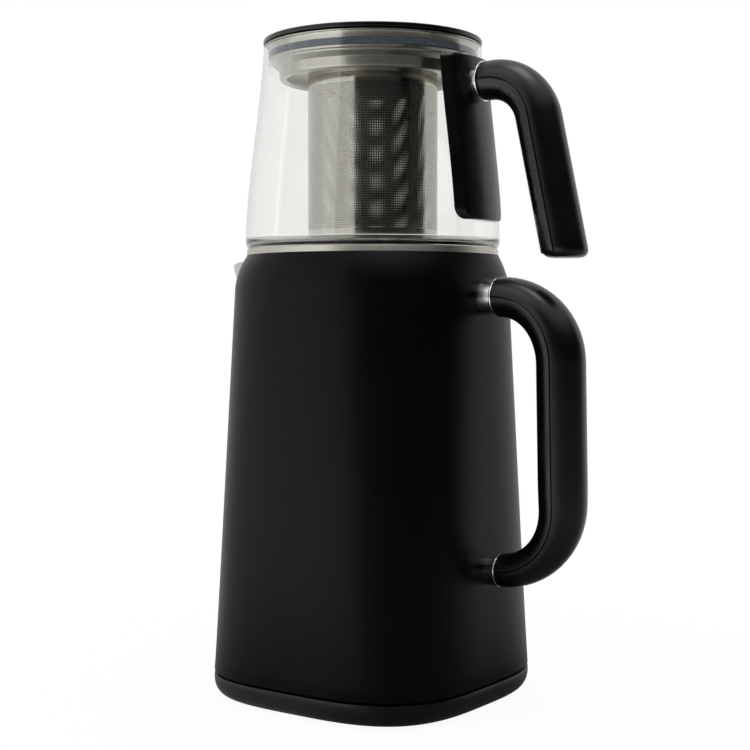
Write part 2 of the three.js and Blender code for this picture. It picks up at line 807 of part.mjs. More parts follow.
function makeStrainer() {
  const outer = vesselRadius - seatGap;
  const top = rimTopZ - rimSkirtDepth - seatGap;
  const bottom = bodyTopZ - spoutTopDrop - spoutDepth - strainerMargin;
  const band = turned([
    [outer - strainerThickness, bottom],
    [outer, bottom],
    [outer, top],
    [outer - strainerThickness, top],
  ], 2 * aroundRound);
  const halfWidth = spoutHalfWidth + strainerMargin;
  let plate = band.intersect(block([-outer - overrun, -halfWidth, bottom], [0, halfWidth, top]));
  const rows = 4;
  for (let row = 0; row < rows; row += 1) {
    for (let column = 0; column < rows - row; column += 1) {
      const y = (column - (rows - row - 1) / 2) * strainerPitch;
      const z = top - strainerMargin - strainerHoleRadius - row * strainerPitch;
      plate = plate.subtract(turnedAlongX(rod(strainerHoleRadius, 4 * overrun), -outer - overrun, y, z, 6));
    }
  }
  return plate;
}

// Stations along a handle's centre line in the XZ plane: straight runs joined by round bends.
// Each station has its point, its direction and its distance from the start.
function bentStations(corners, bends) {
  const stations = [];
  const bendSteps = 6;
  let travelled = 0;

  function mark(point, along, step) {
    travelled += step;
    stations.push({ point, along, travelled });
  }

  let from = corners[0];
  mark(from, new THREE.Vector3().subVectors(corners[1], from).normalize(), 0);
  for (let i = 1; i < corners.length; i += 1) {
    const along = new THREE.Vector3().subVectors(corners[i], corners[i - 1]).normalize();
    const bend = bends[i - 1];
    let end = corners[i];
    let on = null;
    let setback = 0;
    if (bend) {
      on = new THREE.Vector3().subVectors(corners[i + 1], corners[i]).normalize();
      setback = bend * Math.tan(along.angleTo(on) / 2);
      end = corners[i].clone().addScaledVector(along, -setback);
    }
    const run = end.distanceTo(from);
    const steps = Math.ceil(run / handleStep);
    for (let step = 1; step <= steps && run > seatGap; step += 1) {
      mark(from.clone().lerp(end, step / steps), along, run / steps);
    }
    if (bend) {
      const turn = along.angleTo(on);
      const inward = on.clone().addScaledVector(along, -on.dot(along)).normalize();
      for (let step = 1; step <= bendSteps; step += 1) {
        const angle = (turn * step) / bendSteps;
        const point = end.clone().addScaledVector(along, bend * Math.sin(angle))
          .addScaledVector(inward, bend * (1 - Math.cos(angle)));
        const ahead = along.clone().multiplyScalar(Math.cos(angle)).addScaledVector(inward, Math.sin(angle));
        mark(point, ahead, (bend * turn) / bendSteps);
      }
      from = corners[i].clone().addScaledVector(on, setback);
    }
  }
  return stations;
}

// Radius of the bend at a corner that leaves a straight length beside the root
function bendBeside(root, corner, far, straight) {
  const back = new THREE.Vector3().subVectors(root, corner);
  const on = new THREE.Vector3().subVectors(far, corner);
  return (back.length() - straight) * Math.tan(back.angleTo(on) / 2);
}

// One half of a split handle: side is 1 for the outer half and -1 for the inner half. A free tip
// is rounded and cut level.
function handleHalf(stations, radiusAt, side, tipRadius = 0) {
  const { travelled: total, point: tip, along: tipAlong } = stations[stations.length - 1];
  const marks = stations.slice();
  if (tipRadius > 0) {
    marks.pop();
    const tipShares = [1, 0.6, 0.25, 0];
    tipShares.forEach((share) => marks.push({
      point: tip.clone().addScaledVector(tipAlong, -share * tipRadius),
      along: tipAlong,
      travelled: total - share * tipRadius,
    }));
  }
  const across = new THREE.Vector3(0, -side, 0);
  const halfSteps = 8;
  return loft(marks.map(({ point, along, travelled }) => {
    const out = new THREE.Vector3().crossVectors(across, along);
    const left = total - travelled;
    const draw = left < tipRadius ? tipRadius - Math.sqrt(tipRadius ** 2 - (tipRadius - left) ** 2) : 0;
    const radius = radiusAt(travelled / total) - draw;
    const start = Math.asin(partingGap / 2 / radius);
    const slantShare = left < tipRadius ? out.z / along.z : 0;
    return Array.from({ length: halfSteps + 1 }, (_, i) => {
      const angle = lerp(start, Math.PI - start, i / halfSteps);
      return point.clone()
        .addScaledVector(across, radius * Math.cos(angle))
        .addScaledVector(out, radius * Math.sin(angle))
        .addScaledVector(along, -slantShare * radius * Math.sin(angle));
    });
  }));
}

function ferrule(radius, flare, length, z) {
  const wall = bodyReachAt(z);
  const start = wall - overrun;
  const reach = overrun + length;
  return turnedAlongX([
    [0, 0],
    [radius - flare, 0],
    [radius, reach - ferruleRingWidth],
    [radius + ferruleRingRise, reach - ferruleRingWidth],
    [radius + ferruleRingRise, reach],
    [spigotRadius, reach],
    [spigotRadius, reach + spigotLength],
    [0, reach + spigotLength],
  ], start, 0, z, aroundHub).subtract(kettleBodyEnvelope).subtract(turnedAlongX(
    rod(screwRadius + seatGap, screwBite + overrun), wall - overrun + seatGap, 0, z));
}

function handleScrew(z) {
  const headStart = bodyReachAt(z) - bodyWall - seatGap - screwHeadHeight;
  return turnedAlongX([
    [0, 0],
    [screwHeadRadius, 0],
    [screwHeadRadius, screwHeadHeight],
    [screwRadius, screwHeadHeight],
    [screwRadius, screwHeadHeight + bodyWall + screwBite],
    [0, screwHeadHeight + bodyWall + screwBite],
  ], headStart, 0, z);
}

const upperWall = bodyReachAt(handleTopLevel);
const lowerWall = bodyReachAt(handleBottomLevel);
const handleTopStart = upperWall + upperFerruleLength + seatGap;
const handleBottomStart = lowerWall + lowerFerruleLength + seatGap;
const upperRoot = new THREE.Vector3(handleTopStart, 0, handleTopLevel);
const upperCorner = new THREE.Vector3(upperWall + gripTopReach, 0, handleTopLevel);
const lowerCorner = new THREE.Vector3(lowerWall + gripBottomReach, 0, handleBottomLevel + handleBottomRise);
const lowerRoot = new THREE.Vector3(handleBottomStart, 0, handleBottomLevel);
const kettleHandleStations = bentStations([upperRoot, upperCorner, lowerCorner, lowerRoot], [
  bendBeside(upperRoot, upperCorner, lowerCorner, handleTopStraight),
  bendBeside(lowerRoot, lowerCorner, upperCorner, handleBottomStraight),
]);

function kettleGripRadiusAt(mark) {
  const [end, blend, endRadius] = mark < 0.5
    ? [mark, gripTopBlendShare, gripTopEndRadius]
    : [1 - mark, gripBottomBlendShare, gripBottomEndRadius];
  const rise = Math.min(end / blend, 1);
  return lerp(endRadius, gripRadius, rise * rise * (3 - 2 * rise));
}

function makeKettleHandleHalf(side) {
  let half = handleHalf(kettleHandleStations, kettleGripRadiusAt, side);
  [[handleTopStart, handleTopLevel], [handleBottomStart, handleBottomLevel]].forEach(([x, z]) => {
    const bore = rod(spigotRadius + seatGap, spigotLength + overrun + seatGap);
    const endFace = rod(gripRadius + overrun, overrun);
    half = half.subtract(turnedAlongX(bore, x - overrun, 0, z))
      .subtract(turnedAlongX(endFace, x - overrun, 0, z));
  });
  return half;
}

addPiece(kettleGroup, "kettle_body_shell", "bodyCoat", makeBodyShell());
addPiece(kettleGroup, "kettle_base_cover", "darkPlastic", makeKettleCover());
addPiece(kettleGroup, "kettle_coupler", "darkPlastic", makeCoupler());
addPiece(kettleGroup, "thermostat", "darkPlastic", makeThermostat());
addPiece(kettleGroup, "heating_plate", "aluminium", makeHeatingPlate());
addPiece(kettleGroup, "kettle_inner_vessel", "steel", makeVessel());
addPiece(kettleGroup, "kettle_rim_ring", "steel", makeRimRing());
addPiece(kettleGroup, "spout", "steel", makeSpout());
addPiece(kettleGroup, "spout_strainer", "steel", makeStrainer());
addPiece(kettleGroup, "kettle_handle_outer_shell", "blackPlastic", makeKettleHandleHalf(1));
addPiece(kettleGroup, "kettle_handle_inner_shell", "blackPlastic", makeKettleHandleHalf(-1));
addPiece(kettleGroup, "kettle_handle_upper_ferrule", "chrome", 
  ferrule(upperFerruleRadius, upperFerruleFlare, upperFerruleLength, handleTopLevel));
addPiece(kettleGroup, "kettle_handle_lower_ferrule", "chrome",
  ferrule(lowerFerruleRadius, lowerFerruleFlare, lowerFerruleLength, handleBottomLevel));
addPiece(kettleGroup, "kettle_handle_upper_screw", "steel", handleScrew(handleTopLevel));
addPiece(kettleGroup, "kettle_handle_lower_screw", "steel", handleScrew(handleBottomLevel));

// Teapot: blown glass with a slightly curved, narrowing wall and a drawn-in neck
const potWallCurve = new THREE.CubicBezierCurve(
  new THREE.Vector2(potHeelRadius, potFootZ + potHeelRise),
  new THREE.Vector2(potLowerPullRadius, potFootZ + potLowerPullRise),
  new THREE.Vector2(potUpperPullRadius, potFootZ + potUpperPullRise),
  new THREE.Vector2(potMouthRadius, potTopZ));
const potWallPoints = potWallCurve.getPoints(5);

function glassRadiusAt(z) {
  const fine = potWallCurve.getPoints(60);
  const above = fine.findIndex((point) => point.y >= z);
  if (above <= 0) {
    return above === 0 ? fine[0].x : potMouthRadius;
  }
  const [low, high] = [fine[above - 1], fine[above]];
  return lerp(low.x, high.x, shareOf(z, low.y, high.y));
}

function makeGlass() {
  const heel = new THREE.QuadraticBezierCurve(
    new THREE.Vector2(potFootRadius, potFootZ),
    new THREE.Vector2(potHeelRadius, potFootZ),
    new THREE.Vector2(potHeelRadius, potFootZ + potHeelRise));
  const outside = [...heel.getPoints(3), ...potWallPoints.slice(1)].map((p) => [p.x, p.y]);
  const inside = potWallPoints.slice().reverse().map((p) => [p.x - glassWall, p.y]);
  const floor = potFootZ + glassWall;
  return turned([
    [0, potFootZ + potPuntRise],
    [potPuntRadius, potFootZ + potPuntRise],
    [potPuntRadius + potPuntRise, potFootZ],
    ...outside,
    ...inside,
    [potFootRadius - glassWall, floor],
    [potPuntRadius, floor + potPuntRise],
    [0, floor + potPuntRise],
  ]);
}

const bracketZ = potFootZ + bracketBottomRise;
const potHandleZ = potFootZ + potHandleRise;
const handleRootX = glassRadiusAt(potHandleZ) + bracketCrownThickness + neckReach;

// Section of the bracket at a level: it hugs the glass and its face is slightly crowned
function bracketSection(z, faceGrow = 0) {
  const radius = glassRadiusAt(z);
  const backSteps = 8;
  const back = Array.from({ length: backSteps + 1 }, (_, i) => {
    const y = lerp(-bracketHalfWidth, bracketHalfWidth, i / backSteps);
    return new THREE.Vector3(Math.sqrt((radius + seatGap) ** 2 - y * y), y, z);
  });
  const faceSteps = 6;
  const face = Array.from({ length: faceSteps + 1 }, (_, i) => {
    const side = 1 - (2 * i) / faceSteps;
    const crown = lerp(bracketEdgeThickness, bracketCrownThickness, 1 - side * side);
    return new THREE.Vector3(radius + crown + faceGrow, side * bracketFaceHalfWidth, z);
  });
  return [...back, ...face];
}

function bracketSlab(faceGrow = 0) {
  const steps = 6;
  const levels = Array.from({ length: steps + 1 }, (_, i) => bracketZ + bracketHeight * (i / steps));
  return loft(levels.map((z) => bracketSection(z, faceGrow)));
}

function makeBracket() {
  const low = bracketZ;
  const high = bracketZ + bracketHeight;
  const side = bracketHalfWidth;
  const outline = new THREE.Shape();
  outline.moveTo(-side + bracketBottomCorner, low);
  outline.absarc(side - bracketBottomCorner, low + bracketBottomCorner, bracketBottomCorner, -Math.PI / 2, 0);
  outline.absarc(side - bracketTopCorner, high - bracketTopCorner, bracketTopCorner, 0, Math.PI / 2);
  outline.absarc(-side + bracketTopCorner, high - bracketTopCorner, bracketTopCorner, Math.PI / 2, Math.PI);
  outline.absarc(-side + bracketBottomCorner, low + bracketBottomCorner, bracketBottomCorner,
    Math.PI, 1.5 * Math.PI);
  const reach = potHeelRadius + bracketCrownThickness + overrun;
  const prism = new THREE.ExtrudeGeometry(outline, { depth: reach, bevelEnabled: false, curveSegments: 5 });
  // Outline's x and y become Y and Z, and the extrusion runs along +X
  const swap = new THREE.Matrix4().makeBasis(
    new THREE.Vector3(0, 1, 0), new THREE.Vector3(0, 0, 1), new THREE.Vector3(1, 0, 0));
  const wall = glassRadiusAt(potHandleZ) + seatGap;
  const pocket = rod(screwHeadRadius + seatGap, overrun + screwHeadHeight + seatGap);
  const hole = rod(screwRadius + seatGap, 3 * overrun + bracketCrownThickness);
  return bracketSlab().intersect(solidOf(prism.applyMatrix4(swap)))
    .subtract(turnedAlongX(pocket, wall - overrun, 0, potHandleZ))
    .subtract(turnedAlongX(hole, wall - overrun, 0, potHandleZ));
}

const neckStartX = glassRadiusAt(potHandleZ) + bracketCrownThickness - overrun;
const neckEndX = handleRootX - endRingThickness - 2 * seatGap;

function makeNeck() {
  const spigotEnd = handleRootX + spigotLength;
  const neck = turnedAlongX([
    [0, 0],
    [neckRadius, 0],
    [neckRadius, neckEndX - neckStartX],
    [spigotRadius, neckEndX - neckStartX],
    [spigotRadius, spigotEnd - neckStartX],
    [0, spigotEnd - neckStartX],
  ], neckStartX, 0, potHandleZ, aroundHub);
  const bore = rod(screwRadius + seatGap, screwBite + overrun);
  return neck.subtract(bracketSlab(seatGap))
    .subtract(turnedAlongX(bore, neckStartX - overrun, 0, potHandleZ));
}

function makeEndRing() {
  return turnedAlongX([
    [spigotRadius + seatGap, 0],
    [endRingRadius, 0],
    [endRingRadius, endRingThickness],
    [spigotRadius + seatGap, endRingThickness],
  ], neckEndX + seatGap, 0, potHandleZ, aroundHub);
}

function makeBracketScrew() {
  const start = glassRadiusAt(potHandleZ) + 2 * seatGap;
  const shank = screwBite + seatGap;
  return turnedAlongX([
    [0, 0],
    [screwHeadRadius, 0],
    [screwHeadRadius, screwHeadHeight],
    [screwRadius, screwHeadHeight],
    [screwRadius, screwHeadHeight + shank - seatGap],
    [0, screwHeadHeight + shank - seatGap],
  ], start, 0, potHandleZ);
}

const potRoot = new THREE.Vector3(handleRootX, 0, potHandleZ);
const potCorner = new THREE.Vector3(handleRootX + potHandleRun, 0, potHandleZ + potHandleClimb);
const potTip = new THREE.Vector3(handleRootX + potHandleTipRun, 0, potHandleZ - potHandleTipDrop);
const potHandleStations = bentStations([potRoot, potCorner, potTip],
  [bendBeside(potRoot, potCorner, potTip, potHandleStraight)]);

function potGripRadiusAt(mark) {
  return lerp(potGripEndRadius, potGripRadius, Math.min(mark / potGripBlendShare, 1));
}

function makePotHandleHalf(side) {
  const bore = rod(spigotRadius + seatGap, spigotLength + overrun + seatGap);
  const endFace = rod(potGripRadius + overrun, overrun);
  return handleHalf(potHandleStations, potGripRadiusAt, side, potHandleTipRadius)
    .subtract(turnedAlongX(bore, handleRootX - overrun, 0, potHandleZ))
    .subtract(turnedAlongX(endFace, handleRootX - overrun, 0, potHandleZ));
}

addPiece(teapotGroup, "teapot_glass", "glass", makeGlass());
addPiece(teapotGroup, "teapot_handle_bracket", "blackPlastic", makeBracket());
addPiece(teapotGroup, "teapot_handle_neck", "chrome", makeNeck());
addPiece(teapotGroup, "teapot_handle_end_ring", "chrome", makeEndRing());
addPiece(teapotGroup, "teapot_bracket_screw", "steel", makeBracketScrew());
addPiece(teapotGroup, "teapot_handle_outer_shell", "blackPlastic", makePotHandleHalf(1));
addPiece(teapotGroup, "teapot_handle_inner_shell", "blackPlastic", makePotHandleHalf(-1));

// Infuser: stepped sheet-steel rim that hangs on the glass, a perforated tube and a base cup
function sheetProfile(path, thickness) {
  const points = path.map(([radius, z]) => new THREE.Vector2(radius, z));
  const offset = points.map((point, i) => {
    const before = points[Math.max(i - 1, 0)];
    const after = points[Math.min(i + 1, points.length - 1)];
    const into = i === 0 ? after.clone().sub(point) : point.clone().sub(before);
    const outOf = i === points.length - 1 ? into.clone() : after.clone().sub(point);
    const sideIn = new THREE.Vector2(into.y, -into.x).normalize();
    const sideOut = new THREE.Vector2(outOf.y, -outOf.x).normalize();
    const mitre = sideIn.clone().add(sideOut).normalize();
    return point.clone().addScaledVector(mitre, thickness / Math.max(mitre.dot(sideIn), mitreShare));
  });
  return [...points, ...offset.reverse()].map((point) => [point.x, point.y]);
}

const meshInnerFlat = meshRadius * Math.cos(Math.PI / meshColumns) - meshThickness;
const collarRadius = meshInnerFlat - seatGap;
const meshTopZ = infuserTopZ - infuserCollarDepth + meshOverlap;
const meshBottomZ = potFootZ + glassWall + potPuntRise + meshFootGap;

function makeInfuserRim() {
  const top = infuserTopZ;
  const skirtZ = top - infuserSkirtDepth;
  const webZ = skirtZ + infuserWebRise;
  const hemRadius = infuserStepRadius - infuserHemWidth;
  // Outer skin from the lip down over the band and skirt, then up the hem, across and down the collar
  return turned(sheetProfile([
    [infuserLipRadius, top - sheetThickness],
    [infuserSleeveRadius, top - sheetThickness],
    [infuserSleeveRadius, top - infuserSleeveDepth],
    [infuserBandRadius, top - infuserSleeveDepth - infuserShoulderDrop],
    [infuserBandRadius, top - infuserBandDepth],
    [infuserStepRadius, top - infuserStepDepth],
    [infuserStepRadius, skirtZ],
    [hemRadius, skirtZ],
    [hemRadius, webZ],
    [collarRadius, webZ],
    [collarRadius, top - infuserCollarDepth],
  ], sheetThickness), aroundInside);
}

// Perforated tube: each flat of the rolled sheet has a column of cells with a four-sided hole
function makeMesh() {
  const positions = [];
  const index = [];
  const halfFlat = Math.PI / meshColumns;
  const holeTop = meshTopZ - meshTopBand;
  const holeBottom = meshBottomZ + meshBottomBand;
  const rowHeight = (holeTop - holeBottom) / meshRows;
  const holeHalfHeight = (rowHeight * meshHoleHeightShare) / 2;
  const edges = Array.from({ length: meshRows + 1 }, (_, row) => holeBottom + row * rowHeight);
  const levels = [meshBottomZ, ...edges, meshTopZ];
  const square = [[-1, -1], [1, -1], [1, 1], [-1, 1]];

  // Point on a flat, where across runs from -1 to 1 between the flat's two edges
  function vertex(radius, column, across, z) {
    const middle = (2 * column + 1) * halfFlat;
    const reach = radius * Math.cos(halfFlat);
    const side = radius * Math.sin(halfFlat) * across;
    positions.push(reach * Math.cos(middle) - side * Math.sin(middle),
      reach * Math.sin(middle) + side * Math.cos(middle), z);
    return positions.length / 3 - 1;
  }

  function quad(a, b, c, d) {
    index.push(a, b, c, a, c, d);
  }

  // One flat of the outer or inner skin: plain at both ends, a frame round each hole between them
  function skin(radius, column, outward) {
    const face = (a, b, c, d) => (outward ? quad(a, b, c, d) : quad(d, c, b, a));
    const rungs = levels.map((z) => [vertex(radius, column, -1, z), vertex(radius, column, 1, z)]);
    const holes = [];
    for (let row = 0; row < levels.length - 1; row += 1) {
      const frame = [...rungs[row], rungs[row + 1][1], rungs[row + 1][0]];
      if (row === 0 || row === levels.length - 2) {
        face(...frame);
      } else {
        const centreZ = (levels[row] + levels[row + 1]) / 2;
        const hole = square.map(([across, up]) =>
          vertex(radius, column, across * meshHoleWidthShare, centreZ + up * holeHalfHeight));
        frame.forEach((corner, i) => {
          const next = (i + 1) % frame.length;
          face(corner, frame[next], hole[next], hole[i]);
        });
        holes.push(hole);
      }
    }
    return { rungs, holes };
  }

  for (let column = 0; column < meshColumns; column += 1) {
    const outside = skin(meshRadius, column, true);
    const inside = skin(meshRadius - meshThickness, column, false);
    outside.holes.forEach((hole, i) => hole.forEach((point, k) => {
      const next = (k + 1) % hole.length;
      quad(point, hole[next], inside.holes[i][next], inside.holes[i][k]);
    }));
    const last = levels.length - 1;
    quad(outside.rungs[0][1], outside.rungs[0][0], inside.rungs[0][0], inside.rungs[0][1]);
    quad(outside.rungs[last][0], outside.rungs[last][1], inside.rungs[last][1], inside.rungs[last][0]);
  }
  const geometry = new THREE.BufferGeometry();
  geometry.setAttribute("position", new THREE.Float32BufferAttribute(positions, 3));
  geometry.setIndex(index);
  return solidOf(geometry);
}

function makeBaseCup() {
  const outer = meshInnerFlat - seatGap;
  const bottom = meshBottomZ;
  return turned([
    [0, bottom],
    [outer - cupHeelBevel, bottom],
    [outer, bottom + cupHeelBevel],
    [outer, bottom + cupWallHeight],
    [outer - sheetThickness, bottom + cupWallHeight],
    [outer - sheetThickness, bottom + sheetThickness + cupHeelBevel],
    [outer - sheetThickness - cupHeelBevel, bottom + sheetThickness],
    [0, bottom + sheetThickness],
  ], aroundInside);
}

// Soft ring with a pointed outer edge, from the top down
function softRing(inner, outer, top, height) {
  return turned([
    [inner, top - height],
    [outer - seatGap, top - height],
    [outer, top - height / 2],
    [outer - seatGap, top],
    [inner, top],
  ], aroundInside);
}

// Silicone seal round the sleeve, inside the glass's mouth
function makeInfuserSeal() {
  const glassFlat = (potMouthRadius - glassWall) * Math.cos(Math.PI / aroundRound);
  return softRing(infuserSleeveRadius + seatGap, glassFlat - seatGap, infuserTopZ - sealDepth, sealHeight);
}

addPiece(infuserGroup, "infuser_rim", "steel", makeInfuserRim());
addPiece(infuserGroup, "infuser_seal", "silicone", makeInfuserSeal());
addPiece(infuserGroup, "infuser_mesh", "steel", makeMesh());
addPiece(infuserGroup, "infuser_base_cup", "steel", makeBaseCup());

// Lid: black disc with a low knob, and a plug with a silicone gasket that seals in the infuser
function makeLidPlate() {
  return turned([
    [screwRadius + seatGap, lidZ],
    [lidRadius - lidEdgeBevel, lidZ],
    [lidRadius, lidZ + lidEdgeBevel],
    [lidRadius, lidTopZ - lidEdgeBevel],
    [lidRadius - lidEdgeBevel, lidTopZ],
    [screwRadius + seatGap, lidTopZ],
  ]);
}

const plugTopZ = lidZ - seatGap;

function makePlug() {
  const bottom = plugTopZ - plugDepth;
  return turned([
    [0, bottom],
    [plugRadius, bottom],
    [plugRadius, plugTopZ - plugFlangeThickness],
    [plugFlangeRadius, plugTopZ - plugFlangeThickness],
    [plugFlangeRadius, plugTopZ],
    [plugRadius - plugWall, plugTopZ],
    [plugRadius - plugWall, bottom + plugWall],
    [0, bottom + plugWall],
  ], aroundInside);
}

function makeGasket() {
  const top = plugTopZ - plugFlangeThickness - seatGap;
  return softRing(plugRadius + seatGap, gasketRadius, top, gasketHeight);
}

function makeKnob() {
  const bottom = lidTopZ + seatGap;
  const top = bottom + knobHeight;
  const capZ = top - knobCapHeight;
  const bore = screwRadius + seatGap;
  const boreTop = bottom + knobScrewBite + seatGap;
  return turned([
    [0, boreTop],
    [bore, boreTop],
    [bore, bottom],
    [knobNeckRadius, bottom],
    [knobNeckRadius, capZ - knobBevel],
    [knobRadius - knobBevel, capZ],
    [knobRadius, capZ + knobBevel],
    [knobRadius, top - knobBevel],
    [knobRadius - knobBevel, top],
    [0, top],
  ], aroundHub);
}

function makeKnobScrew() {
  const head = lidZ - seatGap;
  return turned([
    [0, head - screwHeadHeight],
    [screwHeadRadius, head - screwHeadHeight],
    [screwHeadRadius, head],
    [screwRadius, head],
    [screwRadius, lidTopZ + knobScrewBite],
    [0, lidTopZ + knobScrewBite],
  ], aroundSmall);
}

addPiece(lidGroup, "lid_plate", "blackPlastic", makeLidPlate());
addPiece(lidGroup, "lid_plug", "darkPlastic", makePlug());
addPiece(lidGroup, "lid_gasket", "silicone", makeGasket());
addPiece(lidGroup, "lid_knob", "blackPlastic", makeKnob());
addPiece(lidGroup, "lid_knob_screw", "steel", makeKnobScrew());

export default product;
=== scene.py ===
import math
import bmesh
import bpy
from mathutils import Matrix, Vector


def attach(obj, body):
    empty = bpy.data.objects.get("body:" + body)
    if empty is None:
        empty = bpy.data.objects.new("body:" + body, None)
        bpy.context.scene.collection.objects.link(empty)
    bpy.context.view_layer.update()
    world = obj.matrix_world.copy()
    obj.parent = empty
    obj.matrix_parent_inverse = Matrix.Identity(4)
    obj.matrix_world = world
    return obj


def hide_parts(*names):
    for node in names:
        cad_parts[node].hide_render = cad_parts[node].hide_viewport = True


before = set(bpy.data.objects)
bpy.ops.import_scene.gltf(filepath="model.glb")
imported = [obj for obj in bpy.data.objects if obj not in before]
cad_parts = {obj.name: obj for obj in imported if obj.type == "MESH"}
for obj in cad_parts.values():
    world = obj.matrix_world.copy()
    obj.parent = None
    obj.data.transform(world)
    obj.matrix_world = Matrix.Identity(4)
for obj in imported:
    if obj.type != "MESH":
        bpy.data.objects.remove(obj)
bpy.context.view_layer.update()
mm = 0.001  # the sizes below are in millimetres, the scene is in metres
print("frame loaded")

# The photograph's camera, fitted to the outlines of the body, the rim and the lid
cameraPlace = {
    "azimuth": 35.33,
    "tilt": -2.68,
    "distance": 833.8,
    "height": 210.2,
    "lens": 71.19,
    "shiftX": 0.0030,
    "shiftY": 0.0148,
}


def addCamera():
    azimuth = math.radians(cameraPlace["azimuth"])
    reach = cameraPlace["distance"] * mm
    data = bpy.data.cameras.new("PhotoCamera")
    data.lens = cameraPlace["lens"]
    data.sensor_width = 36
    data.shift_x = cameraPlace["shiftX"]
    data.shift_y = cameraPlace["shiftY"]
    camera = bpy.data.objects.new("PhotoCamera", data)
    camera.location = (math.sin(azimuth) * reach, -math.cos(azimuth) * reach, cameraPlace["height"] * mm)
    camera.rotation_euler = (math.radians(90 + cameraPlace["tilt"]), 0, azimuth)
    bpy.context.scene.collection.objects.link(camera)
    bpy.context.scene.camera = camera


addCamera()
print("camera placed")


# Shared steps for materials

def linearColour(hexCode):
    channels = [int(hexCode[i:i + 2], 16) / 255 for i in (1, 3, 5)]
    return tuple(c / 12.92 if c <= 0.04045 else ((c + 0.055) / 1.055) ** 2.4 for c in channels) + (1,)


def addNode(tree, kind, values=None, links=None, settings=None):
    node = tree.nodes.new(kind)
    for name, setting in (settings or {}).items():
        setattr(node, name, setting)
    for socket, value in (values or {}).items():
        node.inputs[socket].default_value = value
    for socket, source in (links or {}).items():
        tree.links.new(source, node.inputs[socket])
    return node


def startMaterial(name, values):
    material = bpy.data.materials.new(name)
    material.use_nodes = True
    tree = material.node_tree
    shader = tree.nodes["Principled BSDF"]
    for socket, value in values.items():
        shader.inputs[socket].default_value = value
    return material, tree, shader


def surfacePattern(tree, stretch=(1, 1, 1)):
    # the piece's own coordinates, squeezed where the pattern runs along one axis
    coordinates = addNode(tree, "ShaderNodeTexCoord")
    return addNode(tree, "ShaderNodeMapping", values={"Scale": stretch},
                   links={"Vector": coordinates.outputs["Object"]}).outputs["Vector"]


def detailSurface(tree, shader, tint=None, gloss=None, relief=None, edge=0.35):
    # each is a noise and what it drives: two colours, two roughnesses, or the strength and depth of a bump
    if tint:
        noise, dark, light = tint
        tone = addNode(tree, "ShaderNodeValToRGB", links={"Fac": noise.outputs["Fac"]})
        for stop, position, colour in zip(tone.color_ramp.elements, (edge, 1 - edge), (dark, light)):
            stop.position = position
            stop.color = linearColour(colour)
        tree.links.new(tone.outputs["Color"], shader.inputs["Base Color"])
    if gloss:
        noise, low, high = gloss
        sheen = addNode(tree, "ShaderNodeMapRange", links={"Value": noise.outputs["Fac"]},
                        values={"From Min": 0.3, "From Max": 0.7, "To Min": low, "To Max": high})
        tree.links.new(sheen.outputs["Result"], shader.inputs["Roughness"])
    if relief:
        noise, strength, depth = relief
        bump = addNode(tree, "ShaderNodeBump", links={"Height": noise.outputs["Fac"]},
                       values={"Strength": strength, "Distance": depth * mm})
        tree.links.new(bump.outputs["Normal"], shader.inputs["Normal"])


def spreadAlong(tree, shader, axis, amount):
    # tool lines spread each highlight across them, along one axis of the object
    across = addNode(tree, "ShaderNodeVectorTransform", values={"Vector": axis},
                     settings={"convert_from": "OBJECT", "convert_to": "WORLD", "vector_type": "VECTOR"})
    shader.inputs["Anisotropic"].default_value = amount
    tree.links.new(across.outputs["Vector"], shader.inputs["Tangent"])


def powderCoat():
    # polyester powder baked on steel: a fine orange peel that spreads every highlight wide
    peelSize = 0.55  # one bump of the peel
    driftSize = 45  # slow drift of the black from the oven
    material, tree, shader = startMaterial("PowderCoatedSteel", {"IOR": 1.5, "Specular IOR Level": 0.12})
    where = {"Vector": surfacePattern(tree)}
    peel = addNode(tree, "ShaderNodeTexNoise", links=where,
                   values={"Scale": 1 / (peelSize * mm), "Detail": 3, "Roughness": 0.55})
    drift = addNode(tree, "ShaderNodeTexNoise", links=where,
                    values={"Scale": 1 / (driftSize * mm), "Detail": 2})
    detailSurface(tree, shader, tint=(drift, "#040405", "#070708"), gloss=(peel, 0.32, 0.4),
                  relief=(peel, 0.35, 0.05), edge=0.3)
    return material


def mouldedPlastic(name, dark, light, roughness):
    # nylon or polypropylene from a spark-eroded mould: even in colour with a soft, slightly broken gloss
    pitSize = 0.35  # one pit left by the mould
    flowSize = 18  # marks of the flowing plastic
    material, tree, shader = startMaterial(name, {"IOR": 1.5, "Specular IOR Level": 0.45})
    where = {"Vector": surfacePattern(tree)}
    pits = addNode(tree, "ShaderNodeTexNoise", links=where,
                   values={"Scale": 1 / (pitSize * mm), "Detail": 2, "Roughness": 0.5})
    flow = addNode(tree, "ShaderNodeTexNoise", links=where,
                   values={"Scale": 1 / (flowSize * mm), "Detail": 3})
    detailSurface(tree, shader, tint=(flow, dark, light), gloss=(flow, roughness - 0.03, roughness + 0.05),
                  relief=(pits, 0.12, 0.03))
    return material


def platedChrome():
    # chromium plated on a turned ring: bright, faintly blue, with highlights drawn along the ring's axis
    hazeSize = 6
    material, tree, shader = startMaterial("ChromePlate", {
        "Metallic": 1,
        "Base Color": linearColour("#eef0f2"),
    })
    spreadAlong(tree, shader, (1, 0, 0), 0.9)
    haze = addNode(tree, "ShaderNodeTexNoise", links={"Vector": surfacePattern(tree)},
                   values={"Scale": 1 / (hazeSize * mm), "Detail": 4})
    gloss = addNode(tree, "ShaderNodeMapRange", links={"Value": haze.outputs["Fac"]},
                    values={"To Min": 0.12, "To Max": 0.17})
    tree.links.new(gloss.outputs["Result"], shader.inputs["Roughness"])
    return material


